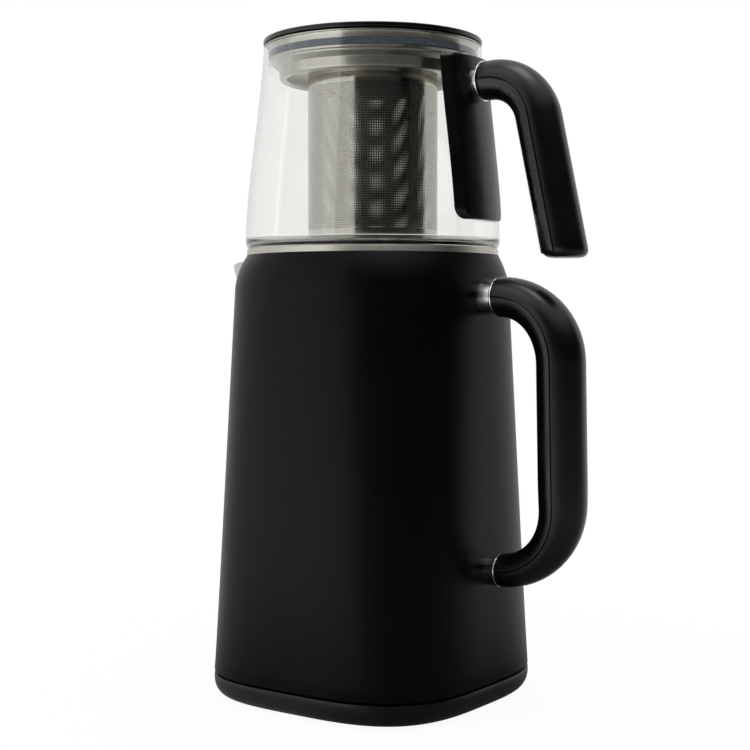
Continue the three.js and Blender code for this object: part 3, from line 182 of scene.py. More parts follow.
def brushedMetal(name, dark, light, roughness, stretch, depth=0.01, spread=0):
    # sheet or casting worked by a tool: fine lines that follow the tool, and a slight stain in the gloss
    lineSpacing = 0.18
    stainSize = 14
    material, tree, shader = startMaterial(name, {"Metallic": 1})
    lines = addNode(tree, "ShaderNodeTexNoise", links={"Vector": surfacePattern(tree, stretch)},
                    values={"Scale": 1 / (lineSpacing * mm), "Detail": 4, "Roughness": 0.6})
    stain = addNode(tree, "ShaderNodeTexNoise", links={"Vector": surfacePattern(tree)},
                    values={"Scale": 1 / (stainSize * mm), "Detail": 2})
    detailSurface(tree, shader, tint=(lines, dark, light), gloss=(stain, roughness - 0.04, roughness + 0.06),
                  relief=(lines, 0.2, depth))
    if spread:
        spreadAlong(tree, shader, (0, 0, 1), spread)
    return material


def punchedSteel():
    # stainless sheet punched with fine holes: painted shade darkens the sheet round each hole, standing in
    # for the shaded inside of a hole that the thin sheet lacks
    material = brushedMetal("PerforatedStainlessSheet", "#cbc8bf", "#dad7ce", 0.16, (1, 1, 0.06))
    tree = material.node_tree
    shader = tree.nodes["Principled BSDF"]
    sheet = shader.inputs["Base Color"].links[0].from_socket
    # painted shade: the sheet's colour falls towards each hole's edge, to a quarter of it at the edge
    rim = addNode(tree, "ShaderNodeAttribute", settings={"attribute_name": "punched"})
    shade = addNode(tree, "ShaderNodeMapRange", links={"Value": rim.outputs["Fac"]},
                    values={"From Min": 0.5, "From Max": 1, "To Min": 1, "To Max": 0.25})
    holeShaded = addNode(tree, "ShaderNodeVectorMath", settings={"operation": "SCALE"},
                     links={"Vector": sheet, "Scale": shade.outputs["Result"]})
    tree.links.new(holeShaded.outputs["Vector"], shader.inputs["Base Color"])
    gloss = shader.inputs["Roughness"].links[0].from_socket
    side = addNode(tree, "ShaderNodeNewGeometry")  # the inside of the tube is left matt
    matt = addNode(tree, "ShaderNodeMath", settings={"operation": "MULTIPLY_ADD"}, values={1: 0.6},
                   links={0: side.outputs["Backfacing"], 2: gloss})
    tree.links.new(matt.outputs["Value"], shader.inputs["Roughness"])
    return material


def blownGlass():
    # borosilicate blown in a mould: clear, colourless, with a barely wavy skin
    waveSize = 30
    material, tree, shader = startMaterial("BorosilicateGlass", {
        "Base Color": linearColour("#f8f9f7"),
        "Roughness": 0,
        "IOR": 1.473,
        "Transmission Weight": 1,
    })
    waves = addNode(tree, "ShaderNodeTexNoise", links={"Vector": surfacePattern(tree, (1, 1, 0.5))},
                    values={"Scale": 1 / (waveSize * mm), "Detail": 1})
    detailSurface(tree, shader, relief=(waves, 0.05, 0.3))
    return material


def dullMoulding(name, dark, light, roughness):
    # pressed rubber, acrylic or laminate: soft highlights and a dusty bloom
    bloomSize = 3
    material, tree, shader = startMaterial(name, {"IOR": 1.42, "Roughness": roughness})
    bloom = addNode(tree, "ShaderNodeTexNoise", links={"Vector": surfacePattern(tree)},
                    values={"Scale": 1 / (bloomSize * mm), "Detail": 5})
    detailSurface(tree, shader, tint=(bloom, dark, light), relief=(bloom, 0.2, 0.05))
    return material


turned = (0.06, 0.06, 1)  # squeezes the lines of a tool that ran round the object
coat = powderCoat()
satinBlack = mouldedPlastic("SatinNylon", "#050506", "#09090a", 0.27)
baseBlack = mouldedPlastic("SatinPolypropylene", "#060607", "#0a0a0b", 0.38)
darkMoulding = mouldedPlastic("GreyPolypropylene", "#232325", "#2b2b2d", 0.45)
chrome = platedChrome()
spunSteel = brushedMetal("SpunStainlessSteel", "#b5b2aa", "#c8c5bd", 0.3, turned, spread=0.85)
rimSteel = brushedMetal("BrushedStainlessSteel", "#bcb9af", "#cfccc2", 0.45, turned, spread=0.92)
perforatedSteel = punchedSteel()
deepDrawnSteel = brushedMetal("DeepDrawnStainlessSteel", "#a3a19c", "#b9b7b2", 0.3, (0.05, 0.05, 1))
castAluminium = brushedMetal("CastAluminium", "#94969a", "#b4b6b8", 0.45, (1, 1, 1), 0.04)
glass = blownGlass()
gasketSilicone = dullMoulding("GreySilicone", "#4a5360", "#5a6470", 0.45)
footRubber = dullMoulding("BlackRubber", "#0d0d0d", "#161616", 0.7)
lightPipe = dullMoulding("MilkyAcrylic", "#ded6c0", "#efe8d6", 0.2)
boardLaminate = dullMoulding("GreenLaminate", "#17492b", "#1f5a36", 0.4)
print("materials mixed")


# Shared steps for shapes

def mixed(low, high, share):
    return low + (high - low) * share


def shareOf(value, low, high):
    return min(max((value - low) / (high - low), 0), 1)


def newVerts(grown):
    return [item for item in grown if isinstance(item, bmesh.types.BMVert)]


def growLoop(bm, ring, count, place):
    # carries a loop of vertices through its stations and leaves the wall behind it
    place(ring, 0)
    for station in range(1, count):
        loop = set(ring)
        edges = {edge for vert in ring for edge in vert.link_edges if edge.other_vert(vert) in loop}
        ring = newVerts(bmesh.ops.extrude_edge_only(bm, edges=list(edges))["geom"])
        place(ring, station)


def wireLoop(bm, points, closed=True):
    verts = [bm.verts.new(Vector(point) * mm) for point in points]
    for near, far in zip(verts, verts[1:] + verts[:1] if closed else verts[1:]):
        bm.edges.new((near, far))
    return verts


def spinOutline(points, steps=96, closed=False):
    # a turned piece about Z from its [radius, height] outline
    bm = bmesh.new()
    wireLoop(bm, [(radius, 0, height) for radius, height in points], closed)
    bmesh.ops.spin(bm, geom=bm.verts[:] + bm.edges[:], cent=(0, 0, 0), axis=(0, 0, 1),
                   angle=math.tau, steps=steps, use_merge=True)
    return bm


def roundBar(radius, start, end, steps=24):
    return spinOutline([(0, start), (radius, start), (radius, end), (0, end)], steps)


def softenEdges(bm, width, steps=3, sharpest=28, chosen=None):
    # rounds the edges that turn by more than the sharpest angle, in degrees
    tidyMesh(bm)
    edges = [edge for edge in bm.edges
             if len(edge.link_faces) == 2 and edge.calc_face_angle(0) > math.radians(sharpest)
             and (chosen is None or chosen(edge))]
    bmesh.ops.bevel(bm, geom=edges, offset=width * mm, offset_type="OFFSET", segments=steps, profile=0.5,
                    affect="EDGES", material=-1, clamp_overlap=True)
    return bm


def tidyMesh(bm):
    bmesh.ops.remove_doubles(bm, verts=bm.verts, dist=0.004 * mm)
    bmesh.ops.recalc_face_normals(bm, faces=bm.faces)


def closeEnds(bm):
    bmesh.ops.holes_fill(bm, edges=[edge for edge in bm.edges if edge.is_boundary], sides=0)


def layAlong(bm, axis, place):
    # turns a piece spun about Z so that it points along +X or +Y from its place on a wall
    turn = {"X": Matrix.Rotation(math.pi / 2, 3, "Y"), "Y": Matrix.Rotation(-math.pi / 2, 3, "X")}[axis]
    bmesh.ops.rotate(bm, verts=bm.verts, cent=(0, 0, 0), matrix=turn)
    bmesh.ops.translate(bm, verts=bm.verts, vec=Vector(place) * mm)
    return bm


def meshObject(name, bm):
    mesh = bpy.data.meshes.new(name)
    bm.to_mesh(mesh)
    bm.free()
    piece = bpy.data.objects.new(name, mesh)
    bpy.context.scene.collection.objects.link(piece)
    return piece


def cutterFrom(bm):
    tidyMesh(bm)
    return meshObject("cutter", bm)


def cutWith(piece, cutters):
    # cuts the shapes out of the piece for good, and throws the cutters away
    for cutter in cutters:
        step = piece.modifiers.new("cut", "BOOLEAN")
        step.operation = "DIFFERENCE"
        step.solver = "EXACT"
        step.object = cutter
    bpy.context.view_layer.update()
    shape = bpy.data.meshes.new_from_object(piece.evaluated_get(bpy.context.evaluated_depsgraph_get()))
    piece.modifiers.clear()
    piece.data = shape
    for cutter in cutters:
        bpy.data.objects.remove(cutter)


def finishPiece(name, bm, material, body, node, sharpest=32, cutters=()):
    tidyMesh(bm)
    piece = meshObject(name, bm)
    if cutters:
        cutWith(piece, cutters)
    mesh = piece.data
    mesh.shade_smooth()
    mesh.set_sharp_from_angle(angle=math.radians(sharpest))
    mesh.materials.clear()
    mesh.materials.append(material)
    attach(piece, body)
    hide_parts(node)


def cornerRadius(angle, halfWidth, power):
    # outline of a rounded square: a power of 2 is a circle, more is squarer
    spread = abs(math.cos(angle)) ** power + abs(math.sin(angle)) ** power
    return halfWidth / spread ** (1 / power)


def evenRadius(radius):
    return lambda angle: radius


def raiseWall(stations, around=96):
    # a wall that rises through rings, each given by its radius at an angle and its height
    bm = bmesh.new()
    ring = bmesh.ops.create_circle(bm, segments=around, radius=1)["verts"]

    def place(verts, station):
        radiusAt, height = stations[station]
        for vert in verts:
            angle = math.atan2(vert.co.y, vert.co.x)
            radius = radiusAt(angle)
            vert.co = Vector((radius * math.cos(angle), radius * math.sin(angle), height)) * mm

    growLoop(bm, ring, len(stations), place)
    return bm


# Power base: a rounded square plinth with its edge drawn in below

baseShape = {
    "halfWidth": 78,
    "height": 12.2,
    "cornerPower": 3.3,
    "edgeInset": 6.5,
    "edgeRise": 9.5,
    "topRound": 0.7,
    "openingHalfWidth": 69.1,
    "openingDepth": 1.2,
    "hubRadius": 20.3,
    "deckThickness": 2.2,
    "wall": 1,
    "around": 144,
    "edgeSteps": 9,
}

controls = {
    "buttonWidth": 15,
    "buttonHeight": 4.6,
    "buttonSpacing": 30,
    "buttonProud": 1.6,
    "buttonDepth": 6.6,
    "buttonRound": 0.45,
    "buttonSteps": 12,
    "gap": 0.3,
    "level": 6.5,
    "lightRadius": 1.8,
    "lightProud": 0.3,
    "lightDepth": 10,
    "glandRadius": 3.6,
    "glandLevel": 6.15,
    "holeDepth": 12,
    "holeClear": 3,
}


def baseRadius(halfWidth):
    return lambda angle: cornerRadius(angle, halfWidth, baseShape["cornerPower"])


def buttonBar(side, grow, start, end):
    # a bar with round ends that runs along +Y: a button, or the hole for it where it is grown by the gap
    bm = bmesh.new()
    radius = controls["buttonHeight"] / 2 + grow
    half = controls["buttonWidth"] / 2 + grow - radius
    middle = side * controls["buttonSpacing"] / 2
    steps = controls["buttonSteps"]
    ring = []
    for halfTurn, shift in ((0, half), (1, -half)):
        for i in range(steps + 1):
            angle = math.pi * (i / steps + halfTurn) - math.pi / 2
            ring.append((middle + shift + radius * math.cos(angle), start,
                         controls["level"] + radius * math.sin(angle)))
    wireLoop(bm, ring)
    bmesh.ops.contextual_create(bm, geom=bm.edges[:])
    grown = bmesh.ops.extrude_face_region(bm, geom=bm.faces[:])["geom"]
    bmesh.ops.translate(bm, vec=(0, (end - start) * mm, 0), verts=newVerts(grown))
    return bm


def addBaseHousing():
    shape = baseShape
    half = shape["halfWidth"]
    top = shape["height"]
    curve = shape["topRound"]
    levels = [(shape["openingHalfWidth"], shape["openingDepth"]), (shape["openingHalfWidth"], 0)]
    for i in range(shape["edgeSteps"] + 1):
        turn = i / shape["edgeSteps"] * math.pi / 2
        inset = shape["edgeInset"] * (1 - math.sin(turn))
        levels.append((half - inset, shape["edgeRise"] * (1 - math.cos(turn))))
    levels += [(half, top - curve), (half - curve * 0.3, top - curve * 0.3), (half - curve, top)]
    stations = [(baseRadius(halfWidth), height) for halfWidth, height in levels]
    stations += [(evenRadius(shape["hubRadius"]), height) for height in (top, top - shape["deckThickness"])]
    bm = raiseWall(stations, shape["around"])
    tidyMesh(bm)
    bmesh.ops.solidify(bm, geom=bm.faces[:], thickness=shape["wall"] * mm)
    inside = half - controls["holeDepth"]
    outside = half + controls["holeClear"]
    cutters = [cutterFrom(buttonBar(side, controls["gap"], inside, outside)) for side in (-1, 1)]
    lightHole = roundBar(controls["lightRadius"] + controls["gap"], 0, outside - inside)
    cutters.append(cutterFrom(layAlong(lightHole, "Y", (0, inside, controls["level"]))))
    glandHole = roundBar(controls["glandRadius"], 0, outside - inside)
    cutters.append(cutterFrom(layAlong(glandHole, "X", (-outside, 0, controls["glandLevel"]))))
    finishPiece("base_housing", bm, baseBlack, "base", "power_base_housing", 30, cutters)


def addBaseControls():
    wall = baseShape["halfWidth"]
    for side, body, name in ((1, "boil_key", "boil_button"), (-1, "keep_warm_key", "keep_warm_button")):
        key = buttonBar(side, 0, wall - controls["buttonDepth"], wall + controls["buttonProud"])
        softenEdges(key, controls["buttonRound"], 3, 60)
        finishPiece(name + "_key", key, satinBlack, body, name)
    radius = controls["lightRadius"]
    length = controls["lightDepth"]
    proud = controls["lightProud"]
    lens = spinOutline([(0, 0), (radius, 0), (radius, length - 0.4), (radius * 0.7, length + proud / 2),
                        (0, length + proud)], 32)
    layAlong(lens, "Y", (0, wall - length, controls["level"]))
    finishPiece("status_lens", lens, lightPipe, "base", "status_light")


addBaseHousing()
addBaseControls()
print("base housing moulded")


baseParts = {
    "coverHalfWidth": 68.8,
    "coverThickness": 2,
    "footRadius": 6,
    "footHeight": 1.9,
    "footProud": 1.2,
    "footSpacing": 96,
    "footRound": 0.25,
    "pocketGap": 0.3,
    "pocketDepth": 1,
    "hubRadius": 20,
    "flangeRadius": 24,
    "flangeLow": 2.3,
    "flangeHigh": 9.7,
    "noseRadius": 15,
    "noseTop": 21.5,
    "noseBore": 5,
    "boreFloor": 8,
    "pinRadius": 1.6,
    "pinTop": 19.2,
    "glandOuter": 4.2,
    "glandBore": 2.8,
    "glandProud": 2.6,
    "glandNeck": 3.3,
    "glandNeckLength": 4.5,
    "glandRibs": 2,
}


def moveToCorner(bm, x, y):
    bmesh.ops.translate(bm, verts=bm.verts, vec=Vector((x, y, 0)) * baseParts["footSpacing"] / 2 * mm)


def addBottomCover():
    half = baseParts["coverHalfWidth"]
    depth = baseParts["pocketDepth"]
    levels = [(half, baseParts["coverThickness"]), (half, 0.5), (half - 0.15, 0.15), (half - 0.5, 0)]
    bm = raiseWall([(baseRadius(halfWidth), height) for halfWidth, height in levels])
    closeEnds(bm)
    pockets = []
    for x in (-1, 1):
        for y in (-1, 1):
            pocket = roundBar(baseParts["footRadius"] + baseParts["pocketGap"], -depth, depth, 36)
            moveToCorner(pocket, x, y)
            pockets.append(cutterFrom(pocket))
    finishPiece("bottom_cover", bm, darkMoulding, "base", "power_base_bottom_cover", 30,
                pockets)


def addFeet():
    radius = baseParts["footRadius"]
    curve = baseParts["footRound"]
    low = -baseParts["footProud"]
    high = low + baseParts["footHeight"]
    for count, (x, y) in enumerate(((1, 1), (-1, 1), (-1, -1), (1, -1)), 1):
        foot = spinOutline([(0, low + curve), (radius * 0.62, low + curve), (radius * 0.7, low),
                            (radius, low), (radius, high), (0, high)], 40)
        softenEdges(foot, curve, 2, 40)
        moveToCorner(foot, x, y)
        finishPiece(f"rubber_foot_{count}", foot, footRubber, "base", f"base_foot_{count}")


def addConnector():
    shape = baseParts
    deck = baseShape["height"]
    flange = shape["flangeRadius"]
    hub = shape["hubRadius"]
    nose = shape["noseRadius"]
    top = shape["noseTop"]
    bore = shape["noseBore"]
    pin = shape["pinRadius"]
    outline = [(0, shape["flangeLow"]), (flange, shape["flangeLow"]), (flange, shape["flangeHigh"]),
               (hub, shape["flangeHigh"]), (hub, deck), (nose + 1.2, deck), (nose + 1.2, deck - 0.6),
               (nose, deck - 0.6), (nose, top), (nose - 2.4, top), (nose - 2.4, top - 1.2),
               (nose - 4, top - 1.2), (nose - 4, top), (bore, top), (bore, shape["boreFloor"]),
               (pin, shape["boreFloor"]), (pin, shape["pinTop"] - 0.6), (0, shape["pinTop"])]
    socket = softenEdges(spinOutline(outline, 72), 0.35)
    finishPiece("base_socket", socket, darkMoulding, "base", "base_connector")


def addGland():
    shape = baseParts
    proud = shape["glandProud"]
    outer = shape["glandOuter"]
    end = proud + shape["glandNeckLength"]
    outline = [(shape["glandBore"], 0), (outer - 0.6, 0)]
    for rib in range(shape["glandRibs"]):
        start = 0.5 + rib
        outline += [(outer - 0.5, start), (outer, start + 0.2), (outer, start + 0.6),
                    (outer - 0.5, start + 0.8)]
    outline += [(shape["glandNeck"], proud), (shape["glandNeck"], end), (shape["glandBore"], end)]
    gland = softenEdges(spinOutline(outline, 40, closed=True), 0.12, 2)
    layAlong(gland, "X", (-baseShape["halfWidth"] - proud, 0, controls["glandLevel"]))
    finishPiece("cord_grommet", gland, footRubber, "base", "cord_gland")


addBottomCover()
addFeet()
addConnector()
addGland()
print("base fitted out")


# Kettle body: a rounded square that narrows, softens and closes to the round mouth

bodyShape = {
    "foot": 13.2,
    "shoulder": 222,
    "top": 243.8,
    "footHalfWidth": 78,
    "topHalfWidth": 72,
    "footPower": 3.3,
    "topPower": 2.5,
    "powerEase": 0.8,
    "shoulderEase": 2.1,
    "mouthRadius": 70.3,
    "flangeRadius": 64,
    "wall": 1.6,
    "footRound": 0.8,
    "footFlange": 4,
    "around": 160,
    "levels": 28,
    "shoulderLevels": 16,
}


def bodyHalfWidth(height):
    climb = shareOf(height, bodyShape["foot"], bodyShape["shoulder"])
    return mixed(bodyShape["footHalfWidth"], bodyShape["topHalfWidth"], climb)


def shoulderFold(height):
    # how far the shoulder has closed to the round mouth
    return shareOf(height, bodyShape["shoulder"], bodyShape["top"]) ** bodyShape["shoulderEase"]


def bodyRadius(height, inset):
    climb = shareOf(height, bodyShape["foot"], bodyShape["shoulder"])
    power = mixed(bodyShape["footPower"], bodyShape["topPower"], climb ** bodyShape["powerEase"])
    half = bodyHalfWidth(height)
    fold = shoulderFold(height)
    return lambda angle: mixed(cornerRadius(angle, half, power), bodyShape["mouthRadius"], fold) - inset


def bodyReach(height):
    # from the axis to the flat side of the body
    return mixed(bodyHalfWidth(height), bodyShape["mouthRadius"], shoulderFold(height))


def addBodyShell():
    shape = bodyShape
    low = shape["foot"]
    curve = shape["footRound"]
    shoulder = shape["shoulder"]
    levels = [(low, shape["footFlange"]), (low, curve), (low + curve * 0.3, curve * 0.3), (low + curve, 0)]
    for start, end, steps in ((low + curve, shoulder, shape["levels"]),
                              (shoulder, shape["top"], shape["shoulderLevels"])):
        levels += [(mixed(start, end, i / steps), 0) for i in range(1, steps + 1)]
    stations = [(bodyRadius(height, inset), height) for height, inset in levels]
    bm = raiseWall(stations + [(evenRadius(shape["flangeRadius"]), shape["top"])], shape["around"])
    tidyMesh(bm)
    bmesh.ops.solidify(bm, geom=bm.faces[:], thickness=shape["wall"] * mm)
    finishPiece("body_shell", bm, coat, "kettle", "kettle_body_shell", 40,
                [spoutCutter(spoutShape["wall"] * 0.4)])


# Spout: a folded steel beak, open at its top, whose keel falls to the wall

spoutShape = {
    "reach": 30,
    "depth": 37,
    "halfWidth": 22,
    "topDrop": 1.6,
    "tipDrop": 2.4,
    "tipDepth": 3,
    "tipHalfWidth": 1.7,
    "keelEase": 0.6,
    "flankEase": 0.75,
    "veeEase": 1.5,
    "wall": 1,
    "root": 61.9,
    "cutDepth": 4,
    "flankSteps": 14,
    "stations": 22,
}


def spoutStation(x, grow):
    # half width, depth and top of the beak's section at a distance from the axis
    shape = spoutShape
    wall = bodyReach(bodyShape["top"] - shape["topDrop"])
    left = 1 - shareOf(x, wall, wall + shape["reach"])
    halfWidth = mixed(shape["tipHalfWidth"], shape["halfWidth"], left ** shape["flankEase"]) + grow
    depth = mixed(shape["tipDepth"], shape["depth"], left ** shape["keelEase"]) + grow
    top = bodyShape["top"] - shape["topDrop"] - shape["tipDrop"] * (1 - left) ** 4
    return halfWidth, depth, top


def spoutLoft(root, grow, closed):
    wall = bodyReach(bodyShape["top"] - spoutShape["topDrop"])
    steps = spoutShape["stations"]
    ways = [1 - (1 - i / steps) ** 1.3 for i in range(1, steps + 1)]  # closer together towards the tip
    xs = [root, wall] + [wall + spoutShape["reach"] * way for way in ways]
    flank = spoutShape["flankSteps"]
    section = [side / flank for side in range(-flank, flank + 1)]
    bm = bmesh.new()
    ring = wireLoop(bm, [(0, side, 0) for side in section], closed)

    def place(verts, station):
        halfWidth, depth, top = spoutStation(xs[station], grow)
        for vert, side in zip(sorted(verts, key=lambda v: v.co.y), section):
            fall = depth * (1 - abs(side) ** spoutShape["veeEase"])
            vert.co = Vector((-xs[station], side * halfWidth, top - fall)) * mm

    growLoop(bm, ring, len(xs), place)
    return bm


def spoutCutter(grow):
    bm = spoutLoft(spoutShape["root"] - spoutShape["cutDepth"], grow, True)
    closeEnds(bm)
    return cutterFrom(bm)


def addSpout():
    bm = spoutLoft(spoutShape["root"], 0, False)
    tidyMesh(bm)
    if sum(face.normal.z for face in bm.faces) > 0:  # an open sheet can come out facing inwards
        bmesh.ops.reverse_faces(bm, faces=bm.faces[:])
    bmesh.ops.solidify(bm, geom=bm.faces[:], thickness=spoutShape["wall"] * mm)
    softenEdges(bm, 0.3, 2, 60)
    finishPiece("spout_beak", bm, spunSteel, "kettle", "spout", 40)


addBodyShell()
addSpout()
print("kettle body formed")


# Inside and top of the kettle

vesselShape = {
    "radius": 61.2,
    "wall": 1,
    "floor": 33.3,
    "corner": 4.2,
    "lip": 244.1,
    "lipRadius": 67.4,
    "spoutGap": 0.6,
    "rimRadius": 70.2,
    "rimInner": 67.7,
    "rimTop": 247.4,
    "rimSheet": 1.3,
    "rimRound": 0.45,
    "skirtRadius": 60.9,
    "skirtWall": 1,
    "skirtDepth": 6.9,
    "around": 128,
}


def arcPoints(centre, radius, start, end, steps):
    points = []
    for i in range(steps + 1):
        angle = math.radians(mixed(start, end, i / steps))
        points.append((centre[0] + radius * math.cos(angle), centre[1] + radius * math.sin(angle)))
    return points


def addVessel():
    shape = vesselShape
    radius = shape["radius"]
    wall = shape["wall"]
    low = shape["floor"]
    lip = shape["lip"]
    outerCurve = shape["corner"]
    innerCurve = outerCurve - wall
    outline = [(0, low)] + arcPoints((radius + wall - outerCurve, low + outerCurve), outerCurve, -90, 0, 6)
    outline += [(radius + wall, lip), (shape["lipRadius"], lip), (shape["lipRadius"], lip + wall),
                (radius, lip + wall)]
    outline += arcPoints((radius - innerCurve, low + outerCurve), innerCurve, 0, -90, 6) + [(0, low + wall)]
    vessel = spinOutline(outline, shape["around"])
    finishPiece("inner_vessel", vessel, deepDrawnSteel, "kettle",
                "kettle_inner_vessel", 35, [spoutCutter(-shape["spoutGap"])])


def addRimRing():
    shape = vesselShape
    top = shape["rimTop"]
    lip = shape["lip"]
    sheet = lip + shape["rimSheet"]
    rim = shape["rimRadius"]
    foot = top - shape["skirtDepth"]
    skirt = shape["skirtRadius"]
    inside = skirt - shape["skirtWall"]
    outline = [(shape["rimInner"], lip), (rim, lip), (rim, top), (inside, top), (inside, foot),
               (skirt, foot), (skirt, sheet), (shape["rimInner"], sheet)]
    ring = softenEdges(spinOutline(outline, shape["around"], closed=True), shape["rimRound"], 3,
                       chosen=lambda edge: edge.verts[0].co.z > (lip + 2) * mm)  # only the upper edges
    finishPiece("rim_ring", ring, rimSteel, "kettle", "kettle_rim_ring", 40)


strainerShape = {
    "radius": 60.9,
    "low": 202.2,
    "high": 240.2,
    "halfWidth": 25,
    "sheet": 0.5,
    "pitch": 3.2,
    "hole": 0.5,
}


def perforatedSheet(columns, rows, radius, heights, angles, plain, holeShare):
    # a flat grid whose cells are holed one by one and which is then rolled to its radius
    bm = bmesh.new()
    bmesh.ops.create_grid(bm, x_segments=columns, y_segments=rows, size=0.5)
    for vert in bm.verts:  # square cells keep the inset even on every side
        vert.co = Vector((vert.co.x * columns, vert.co.y * rows, 0))
    holed = []
    for face in bm.faces:
        centre = face.calc_center_median()
        if not plain(int(centre.x + columns / 2), int(centre.y + rows / 2)):
            holed.append(face)
    bmesh.ops.inset_individual(bm, faces=holed, thickness=(1 - holeShare) / 2, use_even_offset=True)
    # marks the vertices round each hole, where the tube's material paints shade
    punched = bm.verts.layers.float.new("punched")
    for vert in {vert for face in holed for vert in face.verts}:
        vert[punched] = 1
    bmesh.ops.delete(bm, geom=holed, context="FACES")
    for vert in bm.verts:
        angle = mixed(*angles, vert.co.x / columns + 0.5)
        height = mixed(*heights, vert.co.y / rows + 0.5)
        vert.co = Vector((radius * math.cos(angle), radius * math.sin(angle), height)) * mm
    return bm


def addStrainer():
    shape = strainerShape
    radius = shape["radius"]
    half = math.asin(shape["halfWidth"] / radius)
    columns = round(2 * half * radius / shape["pitch"])
    rows = round((shape["high"] - shape["low"]) / shape["pitch"])

    def plain(column, row):
        # the border, and the two lower corners outside the beak
        across = abs(column + 0.5 - columns / 2) / (columns / 2)
        down = (rows - row - 0.5) / rows
        return row in (0, rows - 1) or column in (0, columns - 1) or across + down > 1.05

    bm = perforatedSheet(columns, rows, radius - shape["sheet"], (shape["low"], shape["high"]),
                         (math.pi - half, math.pi + half), plain, shape["hole"])
    bmesh.ops.recalc_face_normals(bm, faces=bm.faces)
    bmesh.ops.solidify(bm, geom=bm.faces[:], thickness=shape["sheet"] * mm)
    finishPiece("strainer_plate", bm, deepDrawnSteel, "kettle", "spout_strainer", 30)


couplerShape = {
    "inner": 15.5,
    "outer": 21.9,
    "foot": 13.5,
    "roof": 22,
    "top": 24.2,
    "flangeWidth": 4.6,
    "flange": 16,
    "flangeThickness": 1.5,
    "post": 4.4,
    "postBore": 2.1,
    "postFoot": 11,
    "coverHalfWidth": 75.7,
    "coverThickness": 2.2,
    "ringRadius": 52,
    "ringWidth": 3,
    "ringDepth": 1,
    "gap": 0.3,
}


def addKettleUnderside():
    shape = couplerShape
    low = shape["foot"]
    high = low + shape["coverThickness"]
    outer = shape["outer"]
    hole = outer + shape["gap"]
    cover = shape["coverHalfWidth"]
    ring = shape["ringRadius"]
    ringInner = ring - shape["ringWidth"]
    ringLow = low - shape["ringDepth"]
    stations = [(baseRadius(cover), high), (baseRadius(cover), low + 0.3), (baseRadius(cover - 0.3), low)]
    for radius, height in ((ring, low), (ring, ringLow), (ringInner, ringLow), (ringInner, low),
                           (hole, low), (hole, high)):
        stations.append((evenRadius(radius), height))
    bm = softenEdges(raiseWall(stations), 0.2, 2, 50)
    finishPiece("kettle_underside", bm, darkMoulding, "kettle", "kettle_base_cover")

    bore = shape["postBore"]
    roof = shape["roof"]
    flange = shape["flange"]
    flangeTop = flange + shape["flangeThickness"]
    flangeReach = outer + shape["flangeWidth"]
    outline = [(bore, shape["postFoot"]), (shape["post"], shape["postFoot"]), (shape["post"], roof),
               (shape["inner"], roof), (shape["inner"], low), (outer, low), (outer, flange),
               (flangeReach, flange), (flangeReach, flangeTop), (outer, flangeTop), (outer, shape["top"]),
               (bore, shape["top"])]
    coupler = softenEdges(spinOutline(outline, 72, closed=True), 0.3, 2)
    finishPiece("kettle_socket", coupler, darkMoulding, "kettle", "kettle_coupler")


addVessel()
addRimRing()
addStrainer()
addKettleUnderside()
print("kettle fitted out")


# Handles: two moulded half shells that meet along a fine parting line, on plated ferrules

kettleGrip = {
    "topLevel": 220.5,
    "bottomLevel": 75.3,
    "bottomRise": 2.6,
    "topReach": 118.3,
    "bottomReach": 121.5,
    "topBend": 34.9,
    "bottomBend": 36.3,
    "topRadius": 10.7,
    "bottomRadius": 8.9,
    "radius": 12.9,
    "topBlend": 0.26,
    "bottomBlend": 0.36,
    "ferrules": {
        "upper": {"length": 10.4, "radius": 10.1, "flare": 0.9, "taper": 1.05},
        "lower": {"length": 8, "radius": 8.6, "flare": 0.2, "taper": 0},
    },
    "ringRise": 0.3,
    "ferruleGap": 0.3,
    "sink": 3,
    "spigotRadius": 5.5,
    "spigotLength": 7,
}

grooveShape = {
    "gap": 0.04,
    "lip": 0.45,
    "arcSteps": 18,
    "bendSteps": 16,
    "runSteps": 8,
    "tipSteps": 8,
    "endRound": 0.7,
    "endReach": 0.6,
    "endSpread": 0.4,
}


def bentPath(corners, bends):
    # points and directions along straight runs that are joined by round bends
    points = [Vector((x, 0, z)) for x, z in corners]
    marks = []
    start = points[0]
    for i in range(1, len(points)):
        along = (points[i] - points[i - 1]).normalized()
        final = i == len(points) - 1
        end = points[i]
        if not final:
            bend = bends[i - 1]
            ahead = (points[i + 1] - points[i]).normalized()
            turn = along.angle(ahead)
            end = points[i] - along * bend * math.tan(turn / 2)
        for step in range(grooveShape["runSteps"] + final):
            marks.append((start.lerp(end, step / grooveShape["runSteps"]), along))
        if not final:
            inward = (ahead - along * ahead.dot(along)).normalized()
            for step in range(grooveShape["bendSteps"]):
                angle = turn * step / grooveShape["bendSteps"]
                point = end + along * bend * math.sin(angle) + inward * bend * (1 - math.cos(angle))
                marks.append((point, along * math.cos(angle) + inward * math.sin(angle)))
            start = points[i] + ahead * bend * math.tan(turn / 2)
    return marks


